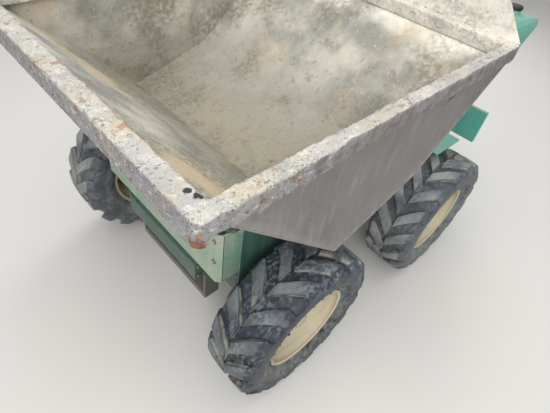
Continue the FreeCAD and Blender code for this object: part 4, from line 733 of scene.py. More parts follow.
def tyre_piece(ending, side, axle_x, sizes, finish):
    """A cross-ply tyre: bulged carcass with mould rings and staggered V lugs."""
    form = Bundle()
    half = list(CARCASS)
    profile = half + [(0.1985, 0.0975), (0.1985, -0.0975)] + [(radius, -y) for radius, y in reversed(half[1:])]
    form.add(lathe(profile, 160))
    pitch = 2 * math.pi / sizes.lugs
    for half_side, shift in ((1, 0.25), (-1, 0.75)):
        for index in range(sizes.lugs):
            form.add(lug_form(half_side, pitch * (index + shift), pitch, sizes.lug_height, None))
    # Mould ribs on the sidewalls, one between each two lugs.
    for half_side in (1, -1):
        for index in range(sizes.lugs * 2):
            turn = pitch * index / 2
            rib = block((-0.0015, 0.0, 0.246), (0.0015, 0.0095, 0.264), 0.0005, 1)
            lean = Matrix.Rotation(turn, 4, "Y") @ Matrix.Translation((0, half_side * 0.1205, 0))
            if half_side < 0:
                lean = lean @ Matrix.Scale(-1, 4, (0, 1, 0))
            form.add(rib, lean)
    # The front left tyre takes the plain rubber, the other three a paler copy that is partly painted skylight.
    rubber = finish["rubber" if ending == "front_left" else "dust_and_skylight_rubber"]
    made = form.piece("tread_" + ending, rubber, "wheel_" + ending, "tyre_rubber",
                      place=(FRONT + axle_x, side * HALF_TRACK, AXLE_Z))
    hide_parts("tyre_" + ending)
    return made


# Radius and place along Y, outboard positive, of the wheel's rim and dished disc.
RIM = (
    (0.2130, 0.1045), (0.2122, 0.1050), (0.2070, 0.1040), (0.1995, 0.0995), (0.1978, 0.0930), (0.1972, 0.0860),
    (0.1930, 0.0780), (0.1830, 0.0700), (0.1800, 0.0600), (0.1800, -0.0300), (0.1830, -0.0420), (0.1950, -0.0560),
    (0.1972, -0.0720), (0.1978, -0.0930), (0.1995, -0.0995), (0.2070, -0.1040), (0.2122, -0.1050),
    (0.2130, -0.1045), (0.2090, -0.0992), (0.2015, -0.0950), (0.1998, -0.0890), (0.1997, 0.0890),
    (0.2015, 0.0950), (0.2090, 0.0992),
)
DISC = (
    (0.1800, 0.0550), (0.1760, 0.0565), (0.1700, 0.0500), (0.1560, 0.0310), (0.1440, 0.0200), (0.1330, 0.0160),
    (0.1180, 0.0180), (0.1060, 0.0250), (0.0960, 0.0280), (0.0500, 0.0280), (0.0500, 0.0200), (0.0940, 0.0200),
    (0.1050, 0.0165), (0.1180, 0.0095), (0.1340, 0.0075), (0.1490, 0.0120), (0.1620, 0.0240), (0.1740, 0.0420),
    (0.1800, 0.0430),
)
HUB = (
    (0.0008, 0.0715), (0.0300, 0.0715), (0.0345, 0.0700), (0.0370, 0.0660), (0.0375, 0.0520), (0.0560, 0.0490),
    (0.0600, 0.0460), (0.0615, 0.0400), (0.0618, 0.0290), (0.0618, -0.0595), (0.0302, -0.0595), (0.0302, 0.0570),
    (0.0008, 0.0570),
)


def wheel_piece(ending, side, axle_x, finish):
    """A dished disc wheel with a well-based rim, wheel nuts, hub cap and valve."""
    place = (FRONT + axle_x, side * HALF_TRACK, AXLE_Z)
    body = "wheel_" + ending

    def out(profile):
        return [(radius, side * y) for radius, y in profile]
    form = Bundle()
    form.add(lathe(out(RIM), 96))
    form.add(lathe(out(DISC), 96))
    # The weld between disc and rim.
    weld = [(0.1795 + 0.0035 * math.cos(2 * math.pi * step / 8), 0.0568 + 0.0035 * math.sin(2 * math.pi * step / 8))
            for step in range(8)]
    form.add(lathe(out(weld), 96))
    made = form.piece("disc_" + ending, finish["cream"], body, "cream_paint", place=place)
    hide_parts("wheel_" + ending)
    hub = Bundle()
    hub.add(lathe(out(HUB), 64))
    hub.piece("hub_" + ending, finish["cream"], body, "cream_paint", place=place)
    nuts = Bundle()
    for index in range(6):
        turn = 2 * math.pi * (index + 0.5) / 6
        spot = (0.078 * math.sin(turn), side * 0.0275, 0.078 * math.cos(turn))
        nuts.add(bolt(0.016), aim(spot, (0, side, 0)))
        nuts.add(disc_stack([(0.0062, 0), (0.0062, 0.021), (0.0050, 0.0225)], 16), aim(spot, (0, side, 0)))
    for index in range(5):
        turn = 2 * math.pi * index / 5
        spot = (0.046 * math.sin(turn), side * 0.0495, 0.046 * math.cos(turn))
        nuts.add(bolt(0.008), aim(spot, (0, side, 0)))
    nuts.piece("wheel_nuts_" + ending, finish["steel"], body, "cream_paint", place=place)
    turn = 0.9
    valve = Bundle()
    valve.add(disc_stack([(0.0055, 0), (0.0055, 0.012), (0.0038, 0.014), (0.0038, 0.030), (0.0046, 0.031),
                          (0.0046, 0.040), (0.0030, 0.042)], 14),
              aim((0.188 * math.sin(turn), side * 0.072, 0.188 * math.cos(turn)), (-0.45 * math.sin(turn), side, -0.45 * math.cos(turn))))
    valve.piece("tyre_valve_" + ending, finish["hose"], body, "cream_paint", place=place)


class DUMPER_OT_tyres(bpy.types.Operator):
    """Make the four lugged tyres"""

    bl_idname = "dumper.tyres"
    bl_label = "Tyres"

    def execute(self, context):
        sizes = context.scene.dumper_sizes
        for ending, side, axle_x in CORNERS:
            tyre_piece(ending, side, axle_x, sizes, FINISHES)
        return {"FINISHED"}


class DUMPER_OT_wheels(bpy.types.Operator):
    """Make the four disc wheels with their hubs and nuts"""

    bl_idname = "dumper.wheels"
    bl_label = "Wheels"

    def execute(self, context):
        for ending, side, axle_x in CORNERS:
            wheel_piece(ending, side, axle_x, FINISHES)
        return {"FINISHED"}


# Skip

def skip_outline(inset):
    """The skip's side outline in the axle's frame, each plate moved inward."""
    keel, front, heel, tail = (-0.066, 0.823), (0.485, 1.321), (-0.500, 0.977), (-0.955, rim_top(-0.955) - 0.055)
    if not inset:
        return [front, keel, heel, tail]
    spots = []
    lines = []
    for (x0, z0), (x1, z1) in ((front, keel), (keel, heel), (heel, tail)):
        run, rise = x1 - x0, z1 - z0
        size = math.hypot(run, rise)
        # Upward is inward for every plate.
        nx, nz = -rise / size, run / size
        if nz < 0:
            nx, nz = -nx, -nz
        lines.append(((x0 + nx * inset, z0 + nz * inset), (run, rise)))
    spots.append(lines[0][0])
    for (first, along), (second, other) in zip(lines, lines[1:]):
        cross = along[0] * other[1] - along[1] * other[0]
        share = ((second[0] - first[0]) * other[1] - (second[1] - first[1]) * other[0]) / cross
        spots.append((first[0] + along[0] * share, first[1] + along[1] * share))
    last, along = lines[2]
    spots.append((last[0] + along[0], last[1] + along[1]))
    return spots


def rounded_path(spots, radius, steps):
    """An open path with its inner corners rounded."""
    path = [Vector(spots[0])]
    for before, here, after in zip(spots, spots[1:], spots[2:]):
        here = Vector(here)
        back, onward = (Vector(before) - here).normalized(), (Vector(after) - here).normalized()
        half = back.angle(onward) / 2
        reach = radius / math.tan(half)
        start, end = here + back * reach, here + onward * reach
        middle = here + (back + onward).normalized() * (radius / math.sin(half))
        first, last = start - middle, end - middle
        for step in range(steps + 1):
            blend = first.lerp(last, step / steps).normalized() * radius
            path.append(middle + blend)
    path.append(Vector(spots[-1]))
    return path


def along_path(path, spacing):
    """Extra points along a path so that it can be dented."""
    made = [path[0]]
    for start, end in zip(path, path[1:]):
        count = max(1, int((end - start).length / spacing))
        for step in range(1, count + 1):
            made.append(start.lerp(end, step / count))
    return made


def dent(point, depth):
    """How far a plate is pushed at a place."""
    return noise.noise(Vector(point) * 3.1) * depth + noise.noise(Vector(point) * 9.0) * depth * 0.35


def inside_plate(sizes, finish, quick):
    """The inner faces of the floor and end plates, dented and with cement dried in the corners."""
    path = along_path(rounded_path(skip_outline(WALL), 0.030, 6), 0.018 if not quick else 0.06)
    half = SKIP_HALF - WALL
    across = 96 if not quick else 28
    points, faces = [], []
    count = len(path)
    for column in range(across + 1):
        y = -half + 2 * half * column / across
        for index, spot in enumerate(path):
            onward = path[min(index + 1, count - 1)] - path[max(index - 1, 0)]
            normal = Vector((-onward.y, onward.x)).normalized()
            if normal.y < 0:
                normal = -normal
            edge = min(1.0, index / 4, (count - 1 - index) / 4)
            crust = max(0.0, lumps((spot.x, y, spot.y), 26, 0.0045)) + 0.0006
            corner = max(0.0, 1 - (half - abs(y)) / 0.02)
            keel = max(0.0, 1 - abs(spot.x + 0.066) / 0.16) * 0.004
            push = 0.0006 + (abs(dent((spot.x, y, spot.y), sizes.dent_depth)) + crust + keel + corner * 0.006) * edge
            points.append((FRONT + spot.x + normal.x * push, y, spot.y + normal.y * push))
    for column in range(across):
        for index in range(count - 1):
            here = column * count + index
            faces.append((here, here + 1, here + count + 1, here + count))
    return points, faces


def side_lining(side, sizes, quick):
    """The inner face of a side plate, a millimetre proud of the steel and dented."""
    outline = skip_outline(WALL)
    half = SKIP_HALF - WALL
    points, faces = [], []
    across, rows = (84, 36) if not quick else (24, 10)
    low, high = outline[3][0], outline[0][0]
    for column in range(across + 1):
        x = low + (high - low) * column / across
        floor = floor_height(outline, x)
        top = rim_top(x) - 0.050
        for row in range(rows + 1):
            z = floor + (top - floor) * row / rows
            crust = max(0.0, lumps((x, side * 2.0, z), 24, 0.0035))
            edge = min(1.0, row / 3, (rows - row) / 3)
            push = 0.0008 + (crust + abs(dent((x, side * 2, z), sizes.dent_depth * 0.7))) * edge
            points.append((FRONT + x, side * (half - push), z))
    for column in range(across):
        for row in range(rows):
            here = column * (rows + 1) + row
            faces.append((here, here + 1, here + rows + 2, here + rows + 1))
    return points, faces


def floor_height(outline, x):
    """Height of a side outline at a place along X."""
    for (x0, z0), (x1, z1) in zip(outline, outline[1:]):
        if x1 <= x <= x0 and x0 > x1:
            return z1 + (z0 - z1) * (x - x1) / (x0 - x1)
    return outline[-1][1] if x < outline[-1][0] else outline[0][1]


def crust_section(quick):
    """The rim's section as (share inward, share up), from the outer foot over the rounded top."""
    count = 3 if quick else 7
    outer = [(0.0, 0.84 * step / count) for step in range(count)]
    turns = [math.radians(90 * step / count) for step in range(count)]
    outer += [(0.15 * (1 - math.cos(turn)), 0.84 + 0.16 * math.sin(turn)) for turn in turns]
    top = [(0.15 + 0.70 * step / count, 1.0) for step in range(count + 1)]
    return outer + top + [(1 - across, up) for across, up in reversed(outer)] + [(0.66, 0.0), (0.33, 0.0)]


def rim_stations(quick):
    """Outer and inner places along the rim, with its outer corners rounded, and how deep it is there."""
    spacing = 0.03 if quick else 0.007
    inner_y = RIM_HALF - RIM_WIDE
    corners = ((LIP, 1, LIP - LIP_WIDE, 1), (TAIL, 1, TAIL + RIM_WIDE, -1),
               (TAIL, -1, TAIL + RIM_WIDE, -1), (LIP, -1, LIP - LIP_WIDE, 1))
    stations, ends = [], []
    for outer_x, side, inner_x, way in corners:
        centre = Vector((outer_x - way * RIM_ROUND, side * (RIM_HALF - RIM_ROUND)))
        first, last = ((1, 0), (0, 1)) if way * side > 0 else ((0, 1), (1, 0))
        arc = []
        for step in range(7):
            blend = Vector(first).lerp(Vector(last), step / 6).normalized() * RIM_ROUND
            arc.append(centre + Vector((way * blend.x, side * blend.y)))
        ends.append((arc, Vector((inner_x, side * inner_y))))
    for index, (arc, inner) in enumerate(ends):
        front = index in (0, 3)
        stations += [(spot, inner, 0.078 if front else 0.055) for spot in arc]
        beyond, inner_end = ends[(index + 1) % 4]
        count = max(4, int((beyond[0] - arc[-1]).length / spacing))
        stations += [(arc[-1].lerp(beyond[0], number / count), inner.lerp(inner_end, number / count),
                      0.078 if index == 3 else 0.055) for number in range(1, count)]
    return stations


def rim_form(sizes, quick):
    """The rim under its crust of concrete: lumpy on top and sides, ragged along its foot."""
    section = crust_section(quick)
    points, faces = [], []
    stations = rim_stations(quick)
    for outer, inner, drop in stations:
        outward = (outer - inner).normalized()
        for across, up in section:
            flat = outer.lerp(inner, across)
            spot = Vector((flat.x, flat.y, rim_top(flat.x) - drop * (1 - up)))
            rough = lumps(spot, 28, 0.6) + lumps(spot, 90, 0.4)
            away = sizes.crust_depth * (rough + 0.15)
            if across < 0.3:
                spot += Vector((outward.x, outward.y, 0)) * away * min(1.0, up + 0.35)
            elif across > 0.7:
                spot -= Vector((outward.x, outward.y, 0)) * sizes.crust_depth * max(0.0, rough + 0.2) * min(1.0, up * 2)
            if up > 0.75:
                spot.z += away * 0.8
            elif up == 0.0 and across == 0.0:
                spot.z -= sizes.crust_depth * max(0.0, rough) * 1.2
            spot.x = min(spot.x, LIP - 0.0004)
            points.append((FRONT + spot.x, spot.y, spot.z))
    width = len(section)
    for index in range(len(stations)):
        here, after = index * width, (index + 1) % len(stations) * width
        for place in range(width):
            follow = (place + 1) % width
            faces.append((here + place, here + follow, after + follow, after + place))
    return points, faces


def guard_form(quick):
    """The rear guard: a bowed sheet, its top flange and three gussets."""
    form = Bundle()
    foot_z, top_z = rim_top(TAIL) + 0.0004, 1.6199
    foot_half, top_half = 0.7135, 0.5445
    columns, rows = (20, 4) if quick else (72, 12)

    def spot(column, row, back):
        u, v = -1 + 2 * column / columns, row / rows
        half = foot_half + (top_half - foot_half) * v
        bow = 0.0016 * noise.noise(Vector((u * 3, v * 2, 4.0)))
        return (FRONT + TAIL + (0.0008 if back else 0.0052) + bow * 0.5, u * half, foot_z + (top_z - foot_z) * v)
    points, faces = [], []
    for back in (False, True):
        points += [spot(column, row, back) for column in range(columns + 1) for row in range(rows + 1)]
    one = (columns + 1) * (rows + 1)

    def at(column, row, back):
        return column * (rows + 1) + row + (one if back else 0)
    for column in range(columns):
        for row in range(rows):
            for back in (False, True):
                faces.append((at(column, row, back), at(column + 1, row, back),
                              at(column + 1, row + 1, back), at(column, row + 1, back)))
    for column in range(columns):
        for row in (0, rows):
            faces.append((at(column, row, False), at(column + 1, row, False),
                          at(column + 1, row, True), at(column, row, True)))
    for row in range(rows):
        for column in (0, columns):
            faces.append((at(column, row, False), at(column, row + 1, False),
                          at(column, row + 1, True), at(column, row, True)))
    form.add((points, faces))
    back = FRONT + TAIL
    form.add(block((back - 0.0278, -top_half + 0.0005, top_z - 0.006), (back + 0.001, top_half - 0.0005, top_z), 0.002))
    form.add(block((back - 0.0278, -top_half + 0.0005, top_z - 0.022), (back - 0.0228, top_half - 0.0005, top_z - 0.004),
                   0.0018))
    for y in (-0.330, 0.0, 0.330):
        form.add(block((back - 0.0275, y - 0.003, foot_z), (back + 0.001, y + 0.003, top_z - 0.005), 0.001))
    return form


class DUMPER_OT_skip(bpy.types.Operator):
    """Make the skip's crusted rim, its cement-stained lining and its rear guard"""

    bl_idname = "dumper.skip"
    bl_label = "Skip"

    def execute(self, context):
        sizes, quick = context.scene.dumper_sizes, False
        dress("skip_shell", FINISHES["outside"])
        dress("skip_lugs", FINISHES["outside"], 0.0015)
        piece("skip_floor_lining", *inside_plate(sizes, FINISHES, quick), FINISHES["inside"], "skip", "skip_paint")
        for side, name in ((1, "left"), (-1, "right")):
            piece("skip_lining_" + name, *side_lining(side, sizes, quick), FINISHES["inside"], "skip", "skip_paint")
        rim = piece("rim_crusted", *rim_form(sizes, quick), FINISHES["crust"], "skip", "concrete_crust")
        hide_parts("skip_rim")
        guard = guard_form(quick).piece("guard_sheet", (FINISHES["outside"], FINISHES["inside"]), "skip",
                                        "skip_paint")
        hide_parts("skip_guard")
        for face in guard.data.polygons:
            if face.normal.x > 0.5:
                face.material_index = 1
        trim = Bundle()
        add_skip_trim(trim)
        add_skip_laps(trim)
        trim.piece("skip_stiffeners", FINISHES["outside"], "skip", "skip_paint")
        welds = Bundle()
        add_skip_welds(welds)
        welds.piece("skip_welds", FINISHES["outside"], "skip", "skip_paint")
        return {"FINISHED"}


def bead(start, end, radius=0.004, rng=None):
    """A weld bead between two places, its ripples a little uneven."""
    start, end = Vector(start), Vector(end)
    size = (end - start).length
    count = max(4, int(size / (0.0035)))
    onward = (end - start).normalized()
    side = onward.orthogonal().normalized()
    up = onward.cross(side)
    stations = []
    for step in range(count + 1):
        swell = radius * (0.85 + 0.15 * math.cos(step * 2.1) + 0.1 * noise.noise(Vector((step * 0.7, size, 0))))
        stations.append((start.lerp(end, step / count), side * swell, up * swell))
    section = [(math.cos(2 * math.pi * step / 7), math.sin(2 * math.pi * step / 7)) for step in range(7)]
    return swept(stations, section)


def shell_point(x, y, z):
    """A place in the axle's frame as one in the overall frame."""
    return Vector((FRONT + x, y, z))


def add_skip_trim(form):
    """Folded ribs under the lip."""
    (fx, fz), (kx, kz), (hx, hz), (tx, tz) = skip_outline(0)
    for y in (-0.45, -0.15, 0.15, 0.45):
        low, high = Vector((0.20, y, kz + (0.20 - kx) * (fz - kz) / (fx - kx))), Vector((fx - 0.004, y, fz - 0.003))
        points, faces = [], []
        down = Vector((0, 0, -1))
        for spot, drop in ((low, 0.003), (low.lerp(high, 0.25), 0.026), (high, 0.030)):
            spot = shell_point(*spot)
            for across in (-0.0035, 0.0035):
                points += [spot + Vector((0, across, 0.002)), spot + Vector((0, across, 0)) + down * drop]
        for step in range(2):
            here = step * 4
            faces += [(here, here + 1, here + 5, here + 4), (here + 2, here + 3, here + 7, here + 6),
                      (here + 1, here + 3, here + 7, here + 5), (here, here + 2, here + 6, here + 4)]
        faces += [(0, 1, 3, 2), (8, 9, 11, 10)]
        form.add((points, faces))


def add_skip_laps(form):
    """The turned-up edges of the floor plates, lapped on the skip's sides."""
    front, keel, heel, tail = skip_outline(0)
    for side in (-1, 1):
        for (x0, z0), (x1, z1) in ((keel, heel), (heel, tail)):
            start, end = Vector((x0, z0)), Vector((x1, z1))
            onward = (end - start).normalized()
            upward = Vector((-onward.y, onward.x)) * (1 if onward.x > 0 else -1)
            start, end = start + onward * 0.012 + upward * 0.011, end - onward * 0.030 + upward * 0.011
            strip = block((0, -0.0012, -0.0085), ((end - start).length, 0.0012, 0.0085), 0.0007)
            turn = Matrix.Rotation(-math.atan2(onward.y, onward.x), 4, "Y")
            place = Matrix.Translation(shell_point(start.x, side * (SKIP_HALF + 0.0010), start.y))
            form.add(strip, place @ turn)


def add_skip_welds(form):
    """Beads along the skip's outer seams."""
    front, keel, heel, tail = skip_outline(0)
    for side in (-1, 1):
        y = side * (SKIP_HALF - 0.001)
        for (x0, z0), (x1, z1) in ((front, keel), (keel, heel), (heel, tail)):
            form.add(bead(shell_point(x0, y, z0 + 0.001), shell_point(x1, y, z1 + 0.001), 0.0035))
        form.add(bead(shell_point(TAIL + 0.02, side * 0.7085, rim_top(TAIL + 0.02) - 0.0565),
                      shell_point(front[0], side * 0.7085, rim_top(front[0]) - 0.0565), 0.003))
    for y in (-0.400, 0.400):
        for shift in (-0.0105, 0.0105):
            slope = (front[1] - keel[1]) / (front[0] - keel[0])
            x0, x1 = 0.075, 0.272
            form.add(bead(shell_point(x0, y + shift, keel[1] + (x0 - keel[0]) * slope - 0.002),
                          shell_point(x1, y + shift, keel[1] + (x1 - keel[0]) * slope - 0.002), 0.0035))


# Chassis, axles and rams

def axle_point(x, y, z):
    """A place in the axle's frame, its height from the ground, as one in the overall frame."""
    return (FRONT + x, y, z)


def bolt_row(form, spots, axis, size=0.012):
    """Bolt heads at places in the axle's frame, all facing one way."""
    for spot in spots:
        form.add(bolt(size), aim(axle_point(*spot), axis))


def grease_nipple(form, place, axis):
    form.add(disc_stack([(0.0045, 0), (0.0045, 0.004), (0.003, 0.005), (0.003, 0.009), (0.0042, 0.011),
                         (0.0034, 0.014)], 12), aim(axle_point(*place), axis))


class DUMPER_OT_chassis(bpy.types.Operator):
    """Finish the frame, axles and rams, and add their bolts, seals and pins"""

    bl_idname = "dumper.chassis"
    bl_label = "Chassis"

    def execute(self, context):
        rounding = context.scene.dumper_sizes.edge_round
        for node in ("chassis_rails", "cross_members", "cheek_plates", "skip_rest", "cylinder_mount"):
            dress(node, FINISHES["green"], rounding)
        dress("front_plate", FINISHES["mint"], rounding)
        for node in ("front_axle", "rear_axle_beam", "knuckle_left", "knuckle_right"):
            dress(node, FINISHES["green"], 0.003)
        for node in ("steering_ram", "propshafts", "pivot_pins"):
            dress(node, FINISHES["steel"], 0.0015)
        dress("steering_rod", FINISHES["steel"], 0.0015)
        dress("cylinder_barrel", FINISHES["green"], 0.002)
        dress("cylinder_rod", FINISHES["chrome"], 0.0012)
        dress("engine_block", FINISHES["cast"], 0.006)
        dress("gearbox", FINISHES["cast"], 0.006)
        self.frame_bolts()
        self.axle_parts()
        self.ram_parts()
        self.front_plate_parts()
        return {"FINISHED"}

    def frame_bolts(self):
        form = Bundle()
        for side in (-1, 1):
            for x in (-2.02, -1.98, -0.88, -0.84, 0.21, 0.235):
                bolt_row(form, [(x, side * 0.2752, z) for z in (0.455, 0.515)], (0, side, 0), 0.012)
            # U-bolts' nuts under the saddles.
            for axle in (0.0, -WHEELBASE):
                bolt_row(form, [(axle + dx, side * 0.2752, 0.4425) for dx in (-0.03, 0.03)], (0, side, 0), 0.010)
        form.piece("frame_bolts", FINISHES["zinc"], "chassis", "worn_steel")
        pins = Bundle()
        for side in (-1, 1):
            grease_nipple(pins, (0.180, side * 0.4522, 0.905), (0, side, 0))
            keeper = block((-0.030, -0.0025, -0.008), (0.030, 0.0025, 0.008), 0.001)
            pins.add(keeper, Matrix.Translation(axle_point(0.180, side * 0.4440, 0.872)))
            bolt_row(pins, [(0.160, side * 0.4464, 0.872), (0.200, side * 0.4464, 0.872)], (0, side, 0), 0.006)
        pins.piece("pivot_keepers", FINISHES["zinc"], "chassis", "worn_steel")

    def axle_parts(self):
        form = Bundle()
        for axle, way in ((0.0, -1), (-WHEELBASE, 1)):
            centre = (axle, -0.130, AXLE_Z)
            for index in range(10):
                turn = 2 * math.pi * (index + 0.5) / 10
                spot = (centre[0] + 0.097 * math.cos(turn), centre[1] + 0.0752, centre[2] + 0.097 * math.sin(turn))
                form.add(bolt(0.010), aim(axle_point(*spot), (0, 1, 0)))
            flange = disc_stack([(0.062, -0.004), (0.066, 0), (0.066, 0.009), (0.062, 0.012)], 40)
            form.add(flange, aim(axle_point(axle + way * 0.168, -0.130, AXLE_Z), (way, 0, 0)))
            for index in range(6):
                turn = 2 * math.pi * index / 6
                spot = (axle + way * 0.180, -0.130 + 0.058 * math.cos(turn), AXLE_Z + 0.058 * math.sin(turn))
                form.add(bolt(0.008), aim(axle_point(*spot), (way, 0, 0)))
            rib = disc_stack([(0.1125, -0.005), (0.1155, -0.003), (0.1155, 0.003), (0.1125, 0.005)], 64)
            form.add(rib, aim(axle_point(*centre), (0, 1, 0)))
        form.piece("axle_castings", FINISHES["cast"], "chassis", "dark_green_paint")
        joints = Bundle()
        for x, z, way in ((-0.232, 0.380, 1), (-0.568, 0.380, -1), (-0.852, 0.380, 1), (-0.866, 0.380, -1),
                          (-0.850, 0.575, 1), (-1.450, 0.575, -1)):
            yoke = disc_stack([(0.0265, 0), (0.040, 0.004), (0.043, 0.012), (0.043, 0.018), (0.0265, 0.022)], 28)
            joints.add(yoke, aim(axle_point(x, -0.130, z), (way, 0, 0)))
        joints.piece("shaft_joints", FINISHES["cast"], "chassis", "worn_steel")
        for ending, side in (("left", 1), ("right", -1)):
            steer = Bundle()
            for up in (-1, 1):
                cap = disc_stack([(0.024, 0), (0.024, 0.003), (0.020, 0.005)], 28)
                steer.add(cap, aim(axle_point(-WHEELBASE, side * 0.460, AXLE_Z + up * 0.0890), (0, 0, up)))
                grease_nipple(steer, (-WHEELBASE, side * 0.460, AXLE_Z + up * 0.0935), (0, 0, up))
            steer.piece("kingpin_caps_" + ending, FINISHES["zinc"], "knuckle_" + ending, "worn_steel")

    def ram_parts(self):
        """The tipping ram leans 29 degrees forward of its foot pin, so its rings do too."""
        foot = Vector(axle_point(0.160, 0, 0.320))
        eye = Vector(axle_point(-0.070, 0, 0.750))
        along = (eye - foot).normalized()
        form = Bundle()
        form.add(disc_stack([(0.0402, 0), (0.0445, 0.002), (0.0455, 0.006), (0.0455, 0.026), (0.0445, 0.031),
                             (0.0402, 0.033)], 44), aim(foot + along * 0.394, along))
        form.add(disc_stack([(0.0402, 0), (0.043, 0.003), (0.0402, 0.006)], 44), aim(foot + along * 0.060, along))
        side = along.cross(Vector((0, 1, 0)))
        form.add(disc_stack([(0.011, 0), (0.011, 0.016), (0.009, 0.018)], 20), aim(foot + along * 0.095 + side * 0.036, side))
        form.add(bolt(0.014), aim(foot + along * 0.095 + side * 0.053, side))
        form.piece("barrel_rings", FINISHES["cast"], "tipping_barrel", "dark_green_paint")
        wiper = Bundle()
        wiper.add(disc_stack([(0.0232, 0), (0.029, 0.001), (0.0275, 0.005), (0.0228, 0.006)], 36),
                  aim(foot + along * 0.4303, along))
        wiper.piece("rod_wiper", FINISHES["hose"], "tipping_barrel", "black_plastic")
        ends = Bundle()
        for way in (-1, 1):
            ends.add(disc_stack([(0.0335, 0), (0.0365, 0.003), (0.0365, 0.010), (0.0335, 0.013)], 36),
                     aim(axle_point(-1.256, way * (0.150 if way > 0 else 0.150), AXLE_Z), (0, -way, 0)))
        ends.piece("steering_ram_glands", FINISHES["cast"], "chassis", "worn_steel")

    def front_plate_parts(self):
        form = Bundle()
        # A folded edge along the top.
        form.add(block(axle_point(0.2400, -0.410, 0.8640), axle_point(0.2640, 0.410, 0.8702), 0.002))
        form.piece("front_plate_fold", FINISHES["mint"], "chassis", "dusty_mint_paint")
        # Thin black strips at the plate's side corners: painted shadow of the gap between the front plate and its side
        # wings.
        gap_shade_strips = Bundle()
        for side in (-1, 1):
            gap_shade_strips.add(block(axle_point(0.2395, side * 0.4412 - 0.0012, 0.594), axle_point(0.2428, side * 0.4412 + 0.0012, 0.868),
                           0.0006))
        gap_shade_strips.piece("front_plate_gap_shade", FINISHES["hose"], "chassis", "dusty_mint_paint")
        fixings = Bundle()
        bolt_row(fixings, [(0.2622, y, z) for y in (-0.415, 0.415) for z in (0.717, 0.830)], (1, 0, 0), 0.010)
        fixings.piece("front_plate_bolts", FINISHES["zinc"], "chassis", "worn_steel")


# Driver's station

def louvre(form, x, y, z, side, length=0.30, tall=0.020):
    """One pressed louvre on a side face of the bay."""
    points, faces = [], []
    steps, rows = 10, 7
    for step in range(steps + 1):
        share = step / steps
        swell = math.sin(math.pi * min(1.0, max(0.0, share)) ) ** 0.35
        for row in range(rows + 1):
            up = row / rows
            out = 0.009 * swell * math.sin(math.pi * 0.5 * (1 - up)) if up < 1 else 0.0
            points.append((FRONT + x + length * (share - 0.5), side * (y + 0.0006 + out), z + tall * (up - 0.5)))
    for step in range(steps):
        for row in range(rows):
            here = step * (rows + 1) + row
            faces.append((here, here + 1, here + rows + 2, here + rows + 1))
    form.add((points, faces))


